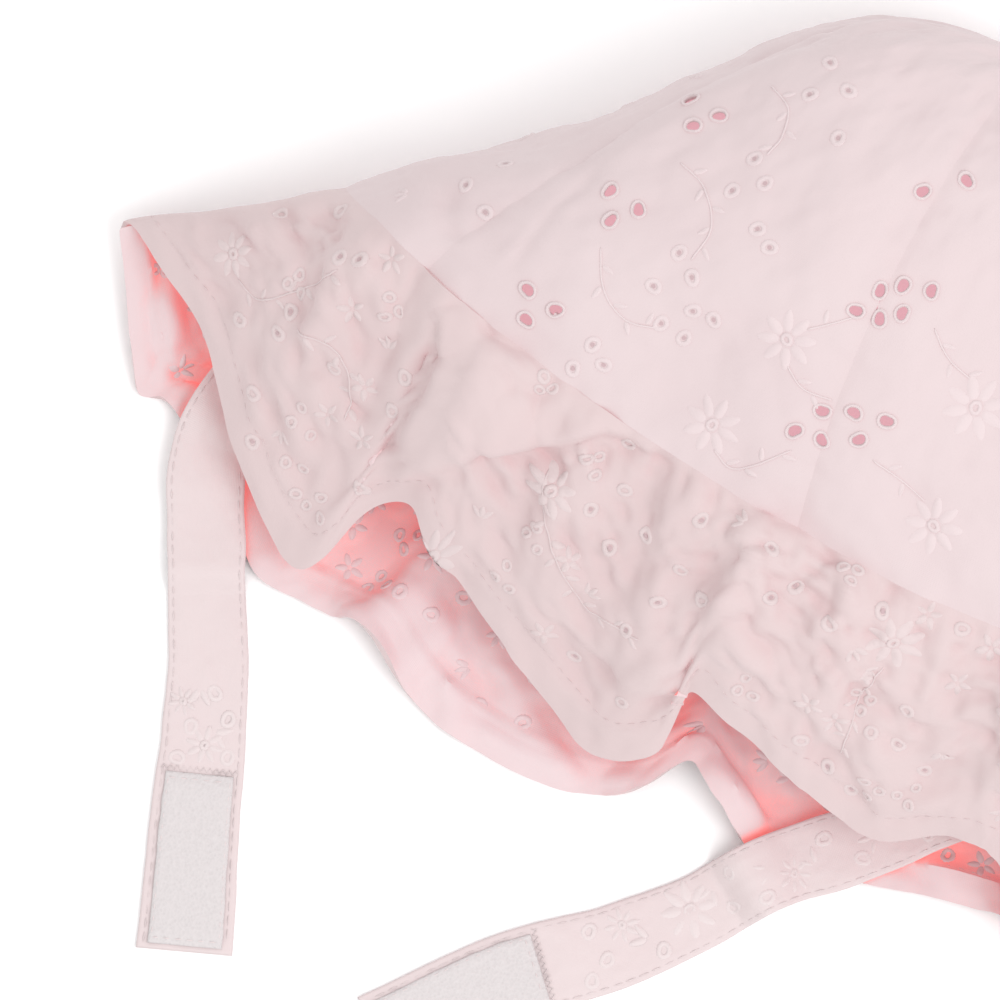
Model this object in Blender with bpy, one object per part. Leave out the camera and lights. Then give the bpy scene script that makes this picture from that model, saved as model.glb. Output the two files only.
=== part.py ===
"""Embroidered baby sun hat, lying on its back with its opening towards -Y.

Lengths are in metres, +Z is up and the hat rests on the plane z = 0. The design is measured from
the middle of the crown seam, and the finished hat is then moved so that the origin lies on the
surface, under the middle of its box.
"""

import math

import bpy
import numpy as np

# Crown
SEAM_HALF_WIDTH = 0.112
SEAM_SWEEP = 0.017
CROWN_LENGTH = 0.106
CROWN_HEIGHT = 0.070
CROWN_ROUNDNESS = 0.88
ARCH_POWER = 1.7
UNDER_POWER = 2.2
FLAT_FROM = 0.68
CROWN_WALL = 0.0012
FRONT_PANEL_SHARE = 0.175
SIDE_PANEL_SHARE = 0.155
SEAM_LEAN = 0.025
LEAN_STATION = 0.65
APEX_STATION = 0.985
SEAM_CREASE = 0.0011
SEAM_CREASE_WIDTH = 0.006

# Brim
BRIM_SIDE_REACH = 0.035
BRIM_DROP = 0.069
BRIM_HEIGHT = 0.035
BRIM_DEPTH = 0.063
BRIM_WALL = 0.0012
HEM_WALL = 0.0018
HEM_DEPTH = 0.007
GATHERS = 26
GATHER_DEPTH = 0.0012
GATHER_REACH = 0.30

# Straps and their fastening patches
STRAP_REACH = 0.133
STRAP_WIDTH = 0.0170
STRAP_WALL = 0.0014
PATCH_LENGTH = 0.0345
PATCH_WIDTH = 0.0150
PATCH_WALL = 0.0012
PATCH_END_MARGIN = 0.0012

# Pierced eyelets
EYELET_RADIUS = 0.0015
EYELET_SPACING = 0.0062
EYELET_SIDES = 8
EYELET_CUT_DEPTH = 0.006

PIECE_GAP = 0.0003

# Mesh resolution
FINE_SHARES = 720
FINE_STEPS = 8
PANEL_COLUMNS = 8
PANEL_ROWS = 13
BRIM_COLUMNS = 132
BRIM_ROWS = 7
STRAP_ROWS = 36
STRAP_COLUMNS = 2
PATCH_ROWS = 8

# Sections of the crown from its seam to its apex. along is a share of CROWN_LENGTH, width of
# SEAM_HALF_WIDTH, and the top, side and floor heights are shares of CROWN_HEIGHT. The last row
# mirrors the one before the apex, so that the apex is round.
# Columns: station, along, width, top, side, floor.
CROWN_SECTIONS = (
    (0.000, 0.000, 1.000, 0.86, 0.33, 0.00),
    (0.125, 0.155, 0.878, 0.94, 0.35, 0.00),
    (0.250, 0.305, 0.755, 0.99, 0.37, 0.00),
    (0.375, 0.462, 0.645, 1.00, 0.40, 0.00),
    (0.500, 0.620, 0.542, 0.98, 0.42, 0.00),
    (0.625, 0.779, 0.442, 0.90, 0.42, 0.00),
    (0.750, 0.905, 0.318, 0.77, 0.42, 0.08),
    (0.875, 0.973, 0.160, 0.59, 0.41, 0.22),
    (1.000, 1.000, 0.000, 0.40, 0.40, 0.40),
    (1.125, 0.973, -0.160, 0.22, 0.41, 0.59),
)

# Soft hollows and swellings of the crown. rise is a share of CROWN_HEIGHT.
# Columns: share round the crown, station, reach in shares, reach in stations, rise.
CROWN_DENTS = (
    (0.070, 0.10, 0.040, 0.14, -0.045),
    (0.130, 0.38, 0.035, 0.20, -0.030),
    (0.055, 0.48, 0.040, 0.16, 0.035),
    (0.930, 0.30, 0.045, 0.20, -0.030),
    (0.865, 0.12, 0.035, 0.15, -0.040),
)

# The brim's outer edge, from the middle of the front round by the left. across is a share of the
# tips' half width, along of BRIM_DROP, height of BRIM_HEIGHT, and puff, the rise half way out, of
# BRIM_DEPTH. Columns: share round the seam, across, along, height, puff.
BRIM_EDGE = (
    (0.000, 0.041, -0.570, 0.94, 0.20),
    (0.012, -0.016, -0.530, 0.98, 0.20),
    (0.035, -0.020, -0.745, 0.60, 0.14),
    (0.055, -0.090, -0.840, 0.40, 0.10),
    (0.090, -0.279, -0.680, 0.52, 0.12),
    (0.125, -0.428, -0.550, 0.74, 0.18),
    (0.140, -0.476, -0.490, 0.84, 0.20),
    (0.155, -0.524, -0.580, 0.60, 0.14),
    (0.172, -0.561, -0.783, 0.30, 0.08),
    (0.200, -0.720, -0.565, 0.36, 0.12),
    (0.228, -0.850, -0.295, 0.44, 0.14),
    (0.256, -1.000, -0.145, 0.24, 0.06),
    (0.285, -0.945, -0.345, 0.14, 0.00),
    (0.305, -0.890, -0.520, 0.06, 0.00),
    (0.315, -0.868, -0.571, 0.04, 0.00),
    (0.325, -0.835, -0.550, 0.03, 0.00),
    (0.342, -0.755, -0.640, 0.00, 0.02),
    (0.360, -0.655, -0.800, 0.00, 0.02),
    (0.370, -0.613, -0.862, 0.00, 0.03),
    (0.387, -0.545, -0.868, 0.02, 0.03),
    (0.400, -0.490, -0.862, 0.04, 0.03),
    (0.412, -0.446, -0.845, 0.14, 0.05),
    (0.425, -0.368, -0.943, 0.04, 0.05),
    (0.445, -0.261, -1.000, 0.00, 0.04),
    (0.475, -0.072, -0.958, 0.00, 0.03),
    (0.490, -0.013, -0.868, 0.12, 0.04),
    (0.503, 0.024, -0.730, 0.24, 0.05),
    (0.517, 0.080, -0.782, 0.22, 0.05),
    (0.540, 0.160, -0.874, 0.02, 0.04),
    (0.565, 0.296, -0.810, 0.00, 0.03),
    (0.590, 0.420, -0.730, 0.08, 0.03),
    (0.615, 0.530, -0.680, 0.03, 0.03),
    (0.655, 0.680, -0.740, 0.00, 0.02),
    (0.690, 0.870, -0.580, 0.04, 0.00),
    (0.715, 0.960, -0.380, 0.12, 0.00),
    (0.744, 1.000, -0.145, 0.24, 0.06),
    (0.775, 0.865, -0.320, 0.43, 0.14),
    (0.805, 0.728, -0.550, 0.38, 0.12),
    (0.835, 0.570, -0.730, 0.32, 0.08),
    (0.870, 0.462, -0.560, 0.62, 0.16),
    (0.905, 0.395, -0.550, 0.68, 0.16),
    (0.930, 0.299, -0.665, 0.52, 0.12),
    (0.955, 0.197, -0.650, 0.68, 0.15),
    (0.980, 0.122, -0.615, 0.82, 0.18),
)

# Centrelines of the straps from their sewn roots to their free ends. across is a share of
# SEAM_HALF_WIDTH, along of STRAP_REACH, and width of STRAP_WIDTH. Columns: across, along, width.
STRAP_ROUTES = {
    "left": (
        (-0.890, 0.060, 0.91),
        (-0.955, -0.120, 0.91),
        (-0.985, -0.305, 0.92),
        (-0.890, -0.470, 0.92),
        (-0.790, -0.620, 0.95),
        (-0.695, -0.800, 1.05),
        (-0.592, -0.998, 1.13),
    ),
    "right": (
        (0.850, 0.050, 0.91),
        (0.690, -0.110, 0.91),
        (0.490, -0.240, 0.92),
        (0.359, -0.376, 0.91),
        (0.248, -0.479, 0.89),
        (0.180, -0.571, 0.89),
        (0.104, -0.655, 0.97),
        (-0.054, -0.792, 1.06),
        (-0.213, -0.974, 1.11),
    ),
}

# Groups of open eyelets. Columns: share round the crown, station, how many holes, turn in degrees.
EYELET_GROUPS = (
    (0.020, 0.19, 4, 20),
    (0.018, 0.42, 4, 35),
    (0.138, 0.12, 3, 0),
    (0.150, 0.34, 3, 15),
    (0.230, 0.45, 3, 10),
    (0.060, 0.68, 2, 30),
    (0.250, 0.16, 3, 40),
    (0.400, 0.20, 3, 0),
    (0.430, 0.48, 3, 25),
)

FABRIC_OUTSIDE = (0.86, 0.74, 0.75, 1.0)
FABRIC_BRIM = (0.88, 0.71, 0.72, 1.0)
FABRIC_STRAP = (0.87, 0.76, 0.77, 1.0)
FASTENER = (0.78, 0.75, 0.78, 1.0)


def clear_scene():
    for thing in list(bpy.data.objects):
        bpy.data.objects.remove(thing, do_unlink=True)


def fabric(name, colour, roughness=0.85):
    material = bpy.data.materials.new(name)
    material.use_nodes = True
    shader = material.node_tree.nodes["Principled BSDF"]
    shader.inputs["Base Color"].default_value = colour
    shader.inputs["Roughness"].default_value = roughness
    shader.inputs["Metallic"].default_value = 0.0
    return material


def smooth_rows(rows, at):
    """Reads a smooth curve through the rows. Their first column is the place along it."""
    table = np.asarray(rows, float)
    knots, values = table[:, 0], table[:, 1:]
    slopes = np.gradient(values, knots, axis=0)
    cell = np.clip(np.searchsorted(knots, at, side="right") - 1, 0, len(knots) - 2)
    width = (knots[cell + 1] - knots[cell])[..., None]
    part = (at - knots[cell])[..., None] / width
    return (
        (2 * part**3 - 3 * part**2 + 1) * values[cell]
        + (part**3 - 2 * part**2 + part) * width * slopes[cell]
        + (3 * part**2 - 2 * part**3) * values[cell + 1]
        + (part**3 - part**2) * width * slopes[cell + 1]
    )


def unit(vectors):
    return vectors / np.linalg.norm(vectors, axis=-1, keepdims=True)


def normals_round(points):
    """Outward normals of a grid whose rows run from front to back of the hat and close on themselves."""
    along = np.gradient(points, axis=0)
    around = np.roll(points, -1, axis=1) - np.roll(points, 1, axis=1)
    return unit(np.cross(along, around))


def crown_loop(section, station, shares):
    """Middle-surface points of the crown at one station, at even shares of its way round."""
    along, width, top, side, floor = section
    floor = max(floor, 0.0)
    turn = np.linspace(0.0, 2.0 * math.pi, 4 * FINE_SHARES + 1)
    sine, cosine = np.sin(turn), np.cos(turn)
    inner_height = CROWN_HEIGHT - CROWN_WALL
    across = -SEAM_HALF_WIDTH * width * np.sign(sine) * np.abs(sine) ** CROWN_ROUNDNESS
    forward = CROWN_LENGTH * along + SEAM_SWEEP * (1.0 - station) ** 2 * sine**2
    arch = side + (top - side) * (1.0 - (1.0 - np.clip(cosine, 0.0, 1.0)) ** ARCH_POWER)
    under = 1.0 - (1.0 - np.clip(-cosine / FLAT_FROM, 0.0, 1.0)) ** UNDER_POWER
    rest = side - (side - floor) * under
    height = CROWN_WALL / 2 + inner_height * np.where(cosine > 0.0, arch, rest)
    loop = np.stack([across, forward, height], axis=1)
    steps = np.linalg.norm(np.diff(loop, axis=0), axis=1)
    travelled = np.concatenate([[0.0], np.cumsum(steps)])
    wanted = shares * travelled[-1]
    return np.stack([np.interp(wanted, travelled, loop[:, axis]) for axis in range(3)], axis=1)


def panel_bounds():
    """The shares at which the six panels meet, from the middle of the front round by the left."""
    front, side = FRONT_PANEL_SHARE, SIDE_PANEL_SHARE
    return (0.0, front, front + side, 0.5, 1.0 - front - side, 1.0 - front, 1.0)


def seam_lean(stations):
    """How far the panels' seams lean round the crown at each station, in shares."""
    return SEAM_LEAN * np.sin(math.pi / 2 * np.clip(stations / LEAN_STATION, 0.0, 1.0))


def away(shares, centre):
    """Distance in shares to a place on the way round, whichever way is shorter."""
    return np.abs((shares - centre + 0.5) % 1.0 - 0.5)


def crown_surface(stations):
    """Points and outward normals, a row for each station."""
    shares = np.arange(FINE_SHARES) / FINE_SHARES
    sections = smooth_rows(CROWN_SECTIONS, stations)
    points = np.stack([crown_loop(s, t, shares) for s, t in zip(sections, stations)])
    normals = normals_round(points)
    girth = np.linalg.norm(np.roll(points, -1, axis=1) - points, axis=2).sum(axis=1)[:, None]
    lean = seam_lean(stations)[:, None]
    nearest = np.min([away(shares[None, :], bound + lean) for bound in panel_bounds()[:-1]], axis=0)
    moved = -SEAM_CREASE * np.exp(-((nearest * girth / SEAM_CREASE_WIDTH) ** 2))
    for share, station, share_reach, station_reach, rise in CROWN_DENTS:
        round_it = away(shares, share)[None, :] / share_reach
        along_it = (stations[:, None] - station) / station_reach
        moved += rise * CROWN_HEIGHT * np.exp(-(round_it**2) - along_it**2)
    resting = points[:, :, 2] < CROWN_WALL
    moved = np.where(resting, 0.0, moved)
    points = points + normals * moved[..., None]
    return points, normals_round(points)


def brim_surface(steps):
    """Points and outward normals, a row for each step from the seam out to the edge."""
    shares = np.arange(FINE_SHARES) / FINE_SHARES
    near_seam, seam_normals = crown_surface(np.array([0.0, 0.02, 0.04]))
    seam = near_seam[0] - unit(near_seam[1] - near_seam[0]) * PIECE_GAP
    rows = np.array(BRIM_EDGE)
    before, after = rows[-2:].copy(), rows[:2].copy()
    before[:, 0] -= 1.0
    after[:, 0] += 1.0
    edge = smooth_rows(np.vstack([before, rows, after]), shares)
    tips = SEAM_HALF_WIDTH + BRIM_SIDE_REACH
    height = HEM_WALL / 2 + BRIM_HEIGHT * np.clip(edge[:, 2], 0.0, None)
    outer = np.stack([tips * edge[:, 0], BRIM_DROP * edge[:, 1], height], axis=1)
    step = steps[:, None, None]
    points = seam * (1.0 - step) + outer * step
    bulge = 4.0 * steps * (1.0 - steps) * (1.0 - 0.35 * steps)
    points[:, :, 2] += BRIM_DEPTH * np.clip(edge[:, 3], 0.0, None) * bulge[:, None]
    gathered = steps * np.exp(-steps / GATHER_REACH) * math.e / GATHER_REACH
    wave = np.sin(2.0 * math.pi * GATHERS * shares)
    points += -normals_round(points) * (GATHER_DEPTH * gathered[:, None] * wave)[..., None]
    points[:, :, 2] = np.maximum(points[:, :, 2], HEM_WALL / 2)
    normals = -normals_round(points)
    start = np.clip(1.0 - steps / 0.12, 0.0, 1.0)[:, None, None]
    return points, unit(normals * (1.0 - start) + seam_normals[0] * start)


def read_round(grid, shares):
    """Reads a fine grid's rows at the given shares."""
    place = (shares % 1.0) * FINE_SHARES
    cell = np.floor(place).astype(int)
    part = (place - cell)[..., None]
    row = np.arange(grid.shape[0])[:, None]
    return grid[row, cell % FINE_SHARES] * (1 - part) + grid[row, (cell + 1) % FINE_SHARES] * part


def solid_sheet(name, middle, normals, half_walls, material, around=False):
    """A closed solid wall on both sides of a grid of middle points."""
    rows, columns = middle.shape[:2]
    offset = normals * np.broadcast_to(half_walls, (rows, columns))[..., None]
    points = np.concatenate([(middle + offset).reshape(-1, 3), (middle - offset).reshape(-1, 3)])
    points[np.abs(points) < 1e-9] = 0.0
    under = rows * columns
    at = np.arange(under).reshape(rows, columns)
    faces = []
    for r in range(rows - 1):
        for c in range(columns if around else columns - 1):
            a, b = at[r, c], at[r, (c + 1) % columns]
            d, e = at[r + 1, c], at[r + 1, (c + 1) % columns]
            faces.append((a, b, e, d))
            faces.append((under + a, under + d, under + e, under + b))
    border = [[(r, c) for c in range(columns)] for r in (0, rows - 1)]
    if not around:
        border += [[(r, c) for r in range(rows)] for c in (0, columns - 1)]
    for number, places in enumerate(border):
        if around:
            places = places + places[:1]
        for first, second in zip(places[:-1], places[1:]):
            a, b = at[first], at[second]
            wall = (a, under + a, under + b, b)
            faces.append(wall if number in (0, 3) else wall[::-1])
    across, down = middle[0, 1] - middle[0, 0], middle[1, 0] - middle[0, 0]
    if np.dot(np.cross(across, down), normals[0, 0]) < 0.0:
        faces = [face[::-1] for face in faces]
    mesh = bpy.data.meshes.new(name)
    mesh.from_pydata(points.tolist(), [], [tuple(int(i) for i in face) for face in faces])
    mesh.validate()
    mesh.materials.append(material)
    mesh.shade_smooth()
    mesh.set_sharp_from_angle(angle=math.radians(50))
    thing = bpy.data.objects.new(name, mesh)
    bpy.context.collection.objects.link(thing)
    return thing


def eyelet_places(group):
    """Hole centres of one group, as steps across and along the cloth in metres."""
    share, station, holes, turn = group
    start = math.radians(turn)
    radius = EYELET_SPACING / (2.0 * math.sin(math.pi / max(holes, 2)))
    angles = [start + 2.0 * math.pi * i / holes for i in range(holes)]
    return [(radius * math.cos(a), radius * math.sin(a)) for a in angles]


def eyelet_cutter(name, groups, surface, stations):
    """One mesh of short rods, each square to the cloth where a hole goes."""
    points, normals = surface
    corners, faces = [], []
    for group in groups:
        row = int(np.argmin(np.abs(stations - group[1])))
        share = (group[0] + float(seam_lean(group[1]))) % 1.0
        column = int(round(share * FINE_SHARES)) % FINE_SHARES
        ahead = unit(points[min(row + 1, len(points) - 1), column] - points[row - 1, column])
        beside = unit(np.cross(ahead, normals[row, column]))
        for across, along in eyelet_places(group):
            aim = points[row, column] + beside * across + ahead * along
            nearest = np.linalg.norm(points - aim, axis=2)
            r, c = np.unravel_index(np.argmin(nearest), nearest.shape)
            up = normals[r, c]
            side = unit(np.cross(up, ahead))
            other = np.cross(up, side)
            base = len(corners)
            for end in (-1.0, 1.0):
                for i in range(EYELET_SIDES):
                    angle = 2.0 * math.pi * i / EYELET_SIDES
                    spoke = side * math.cos(angle) + other * math.sin(angle)
                    corners.append(points[r, c] + spoke * EYELET_RADIUS + up * end * EYELET_CUT_DEPTH / 2)
            low = [base + i for i in range(EYELET_SIDES)]
            high = [base + EYELET_SIDES + i for i in range(EYELET_SIDES)]
            faces.append(tuple(reversed(low)))
            faces.append(tuple(high))
            for i in range(EYELET_SIDES):
                j = (i + 1) % EYELET_SIDES
                faces.append((low[i], low[j], high[j], high[i]))
    mesh = bpy.data.meshes.new(name)
    mesh.from_pydata([tuple(map(float, corner)) for corner in corners], [], faces)
    cutter = bpy.data.objects.new(name, mesh)
    bpy.context.collection.objects.link(cutter)
    cutter.hide_render = True
    cutter.display_type = "WIRE"
    return cutter


def build_crown():
    """Six panels round the crown, each with its own pierced eyelets."""
    cloth = fabric("crown_fabric", FABRIC_OUTSIDE)
    stations = np.linspace(0.0, APEX_STATION, PANEL_ROWS * FINE_STEPS + 1)
    points, normals = crown_surface(stations)
    girth = np.linalg.norm(np.roll(points, -1, axis=1) - points, axis=2).sum(axis=1)[::FINE_STEPS]
    lean = seam_lean(stations[::FINE_STEPS])[:, None]
    bounds = panel_bounds()
    names = ("front_left", "side_left", "back_left", "back_right", "side_right", "front_right")
    mirrored = [(1.0 - share, station, holes, 180 - turn) for share, station, holes, turn in EYELET_GROUPS]
    groups = list(EYELET_GROUPS) + mirrored
    pieces = []
    for name, first, last in zip(names, bounds[:-1], bounds[1:]):
        spread = np.linspace(0.0, 1.0, PANEL_COLUMNS + 1)[None, :]
        inset = (PIECE_GAP / 2 / girth)[:, None]
        shares = (first + inset) * (1.0 - spread) + (last - inset) * spread + lean
        middle = read_round(points[::FINE_STEPS], shares)
        outward = unit(read_round(normals[::FINE_STEPS], shares))
        panel = solid_sheet("crown_panel_" + name, middle, outward, CROWN_WALL / 2, cloth)
        own = [group for group in groups if first < group[0] < last]
        cutter = eyelet_cutter("eyelets_" + name, own, (points, normals), stations)
        cut = panel.modifiers.new("eyelets", "BOOLEAN")
        cut.operation = "DIFFERENCE"
        cut.solver = "EXACT"
        cut.object = cutter
        pieces += [panel, cutter]
    return pieces


def hem_start():
    """The step at which the doubled hem begins."""
    return 1.0 - HEM_DEPTH / BRIM_DEPTH


def build_brim():
    """The gathered ring of the brim, thicker along its hem."""
    cloth = fabric("brim_fabric", FABRIC_BRIM)
    coarse = np.append(np.linspace(0.0, hem_start(), BRIM_ROWS), 1.0)
    fine = np.linspace(0.0, 1.0, BRIM_ROWS * FINE_STEPS * 2 + 1)
    points, normals = brim_surface(fine)
    rows = np.array([int(np.argmin(np.abs(fine - step))) for step in coarse])
    shares = np.broadcast_to(np.arange(BRIM_COLUMNS) / BRIM_COLUMNS, (len(rows), BRIM_COLUMNS))
    middle = read_round(points[rows], shares)
    outward = unit(read_round(normals[rows], shares))
    walls = np.where(coarse >= hem_start() - 0.001, HEM_WALL, BRIM_WALL)[:, None] / 2
    return solid_sheet("brim", middle, outward, walls, cloth, around=True)


def surface_below():
    """Upper points of all that a strap passes over: the back of the crown and of the brim."""
    crown, _ = crown_surface(np.linspace(0.0, 0.35, 24))
    steps = np.linspace(0.0, 1.0, 64)
    brim, _ = brim_surface(steps)
    crown[:, :, 2] += CROWN_WALL / 2
    brim[:, :, 2] += np.where(steps > hem_start() - 0.05, HEM_WALL, BRIM_WALL)[:, None] / 2
    shares = np.arange(FINE_SHARES) / FINE_SHARES
    under = (shares > 0.262) & (shares < 0.738)
    return np.concatenate([crown[:, under].reshape(-1, 3), brim[:, under].reshape(-1, 3)])


def strap_path(route, below):
    """Centreline points, side directions and widths of one strap, lifted over what it crosses."""
    table = np.array(route)
    plan = np.stack([table[:, 0] * SEAM_HALF_WIDTH, table[:, 1] * STRAP_REACH], axis=1)
    knots = np.concatenate([[0.0], np.cumsum(np.linalg.norm(np.diff(plan, axis=0), axis=1))])
    rows = np.column_stack([knots, plan, table[:, 2] * STRAP_WIDTH])
    place = np.linspace(0.0, knots[-1], STRAP_ROWS + 1)
    read = smooth_rows(rows, place)
    lift = np.full(len(place), STRAP_WALL / 2)
    for i, (x, y, width) in enumerate(read):
        near = np.hypot(below[:, 0] - x, below[:, 1] - y) < width * 0.62
        if near.any():
            lift[i] = max(lift[i], below[near, 2].max() + PIECE_GAP + STRAP_WALL / 2)
    padded = np.concatenate([lift[:1], lift, lift[-1:]])
    eased = np.maximum(lift, (padded[:-2] + padded[1:-1] + padded[2:]) / 3)
    points = np.column_stack([read[:, :2], eased])
    forward = unit(np.gradient(points, axis=0))
    beside = unit(np.cross(forward, (0.0, 0.0, 1.0)))
    return place, points, beside, read[:, 2]


def ribbon(points, beside, widths, columns):
    """A grid of points across and along a flat band, with its normals."""
    spread = np.linspace(0.5, -0.5, columns + 1)
    grid = points[:, None, :] + beside[:, None, :] * spread[None, :, None] * widths[:, None, None]
    forward = np.gradient(points, axis=0)
    normals = unit(np.cross(beside, forward))
    return grid, np.repeat(normals[:, None, :], columns + 1, axis=1)


def build_strap(side, below):
    """One flat strap, and the fastening patch on its free end."""
    place, points, beside, widths = strap_path(STRAP_ROUTES[side], below)
    grid, normals = ribbon(points, beside, widths, STRAP_COLUMNS)
    cloth = fabric("strap_fabric_" + side, FABRIC_STRAP)
    strap = solid_sheet("strap_" + side, grid, normals, STRAP_WALL / 2, cloth)
    end = place[-1] - PATCH_END_MARGIN
    patch_at = np.linspace(end - PATCH_LENGTH, end, PATCH_ROWS + 1)
    centre = np.stack([np.interp(patch_at, place, points[:, axis]) for axis in range(3)], axis=1)
    centre[:, 2] += (STRAP_WALL + PATCH_WALL) / 2 + PIECE_GAP
    across = unit(np.stack([np.interp(patch_at, place, beside[:, axis]) for axis in range(3)], axis=1))
    patch_grid, patch_normals = ribbon(centre, across, np.full(len(centre), PATCH_WIDTH), 1)
    tape = fabric("patch_tape_" + side, FASTENER, 0.95)
    patch = solid_sheet("patch_" + side, patch_grid, patch_normals, PATCH_WALL / 2, tape)
    return [strap, patch]


def settle(pieces):
    """Moves the whole hat so that the origin is on the surface, under the middle of its box."""
    shown = [piece for piece in pieces if not piece.hide_render]
    corners = np.array([vertex.co for piece in shown for vertex in piece.data.vertices])
    low, high = corners.min(axis=0), corners.max(axis=0)
    anchor = bpy.data.objects.new("hat", None)
    bpy.context.collection.objects.link(anchor)
    anchor.location = (-(low[0] + high[0]) / 2, -(low[1] + high[1]) / 2, -low[2])
    for piece in pieces:
        piece.parent = anchor


def main():
    clear_scene()
    below = surface_below()
    pieces = build_crown()
    pieces.append(build_brim())
    for side in STRAP_ROUTES:
        pieces += build_strap(side, below)
    settle(pieces)


main()
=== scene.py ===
"""The look of an embroidered baby sun hat that lies on its back.

The cloth is worked out again from the hat's own sizes on a fine grid, with seams, gathers, hem,
pierced eyelets and raised embroidery, and takes the place of the plain solids of the frame.
"""

import math

import bpy
import numpy as np
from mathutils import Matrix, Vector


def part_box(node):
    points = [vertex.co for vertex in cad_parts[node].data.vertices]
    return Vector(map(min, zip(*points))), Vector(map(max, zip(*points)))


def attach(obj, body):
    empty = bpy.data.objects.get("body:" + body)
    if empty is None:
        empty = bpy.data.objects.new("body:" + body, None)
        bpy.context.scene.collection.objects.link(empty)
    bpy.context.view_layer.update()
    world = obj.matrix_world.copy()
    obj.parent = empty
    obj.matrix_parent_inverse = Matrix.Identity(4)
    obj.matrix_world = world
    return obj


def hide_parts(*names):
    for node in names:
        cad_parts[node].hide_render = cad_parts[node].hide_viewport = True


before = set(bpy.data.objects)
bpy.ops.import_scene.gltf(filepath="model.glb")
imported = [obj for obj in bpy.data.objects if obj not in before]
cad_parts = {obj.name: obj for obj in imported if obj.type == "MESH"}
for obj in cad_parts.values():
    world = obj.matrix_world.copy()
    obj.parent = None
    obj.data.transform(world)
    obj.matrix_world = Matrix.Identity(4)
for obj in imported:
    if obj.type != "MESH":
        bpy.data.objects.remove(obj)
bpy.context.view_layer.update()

# The hat's sizes, measured from the middle of the crown seam
SEAM_HALF_WIDTH = 0.112
SEAM_SWEEP = 0.017
CROWN_LENGTH = 0.106
CROWN_HEIGHT = 0.070
CROWN_ROUNDNESS = 0.88
ARCH_POWER = 1.7
UNDER_POWER = 2.2
FLAT_FROM = 0.68
CROWN_WALL = 0.0012
FRONT_PANEL_SHARE = 0.175
SIDE_PANEL_SHARE = 0.155
SEAM_LEAN = 0.025
LEAN_STATION = 0.65
BRIM_SIDE_REACH = 0.035
BRIM_DROP = 0.069
BRIM_HEIGHT = 0.035
BRIM_DEPTH = 0.063
HEM_WALL = 0.0018
HEM_DEPTH = 0.007
GATHERS = 26
GATHER_DEPTH = 0.0012
GATHER_REACH = 0.30
STRAP_REACH = 0.133
STRAP_WIDTH = 0.0170
STRAP_WALL = 0.0014
PATCH_LENGTH = 0.0345
PATCH_WIDTH = 0.0150
PATCH_WALL = 0.0012
PATCH_END_MARGIN = 0.0012
PIECE_GAP = 0.0003
CLOTH = 0.0008
HEM_CLOTH = 0.0014

# The grids that the cloth is worked out on, and the meshes that are read from them
CROWN_ROWS = 300
BRIM_ROWS = 126
ROUND = 1440
PANEL_ROWS = 145
PANEL_COLUMNS_ROUND = 470
BRIM_MESH_ROWS = 64
LAST_STATION = 0.998

# The upper layer's share of the way round to each side, and the cloth that counts as steep or as on the floor
UPPER_REACH = 0.262
STEEP = 0.62
FLOOR_CLEAR = 0.003
ROUNDING = 64

# Seams
SEAM_CREASE = 0.0009
SEAM_CREASE_WIDTH = 0.006
SEAM_GROOVE = 0.00036
SEAM_GROOVE_WIDTH = 0.0013
SEAM_DIP = 0.00022
PUCKER_DEPTH = 0.00009
PUCKERS = 24.0
PUCKER_REACH = 0.0045

# Eyelets, their stitched rims, leaves and stitches
HOLE_RADIUS = 0.0014
RIM_RADIUS = 0.00155
RIM_HALF_WIDTH = 0.00042
RIM_HALF_HEIGHT = 0.00060
EYELET_RADIUS = 0.00118
EYELET_HEIGHT = 0.00040
PIT_RADIUS = 0.00042
STRAP_SINK = 0.00009
STITCH_LENGTH = 0.0021
STITCH_GAP = 0.0007
PATCH_STITCH_LENGTH = 0.0016
HEM_STITCH_RADIUS = 0.00011
STRAP_STITCH_RADIUS = 0.00010
PATCH_STITCH_RADIUS = 0.00013

# Small motifs between the main ones. Each: spacing, distance kept from others, seed, chance.
CROWN_FILL = (0.0150, 0.0095, 51, 0.42)
BRIM_FILL = (0.0078, 0.0060, 61, 0.80)
INSIDE_FILL = (0.0080, 0.0060, 62, 0.90)

# The brim's wrinkles. Columns: depth, cells along, cells round, seed.
BRIM_WRINKLES = (
    (0.0013, 6, 44, 24),
    (0.0013, 12, 100, 25),
    (0.0008, 22, 190, 26),
    (0.00018, 44, 380, 27),
)

# Threads, light and floor
WAVE_SCALE = 0.314
WEAVE = 0.00034
FLOOR_SIZE = 8.0
FLOOR_GREY = 0.96
SKY_STRENGTH = 1.15
LAMP_SIZE = 0.8
LAMP_POWER = 7.0
LAMP_PLACE = (0.62, 0.0, 1.2)
LAMP_AIM = (0.0, 0.0, 0.02)

# Columns: station, along, width, top, side, floor.
CROWN_SECTIONS = (
    (0.000, 0.000, 1.000, 0.86, 0.33, 0.00),
    (0.125, 0.155, 0.878, 0.94, 0.35, 0.00),
    (0.250, 0.305, 0.755, 0.99, 0.37, 0.00),
    (0.375, 0.462, 0.645, 1.00, 0.40, 0.00),
    (0.500, 0.620, 0.542, 0.98, 0.42, 0.00),
    (0.625, 0.779, 0.442, 0.90, 0.42, 0.00),
    (0.750, 0.905, 0.318, 0.77, 0.42, 0.08),
    (0.875, 0.973, 0.160, 0.59, 0.41, 0.22),
    (1.000, 1.000, 0.000, 0.40, 0.40, 0.40),
    (1.125, 0.973, -0.160, 0.22, 0.41, 0.59),
)

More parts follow.
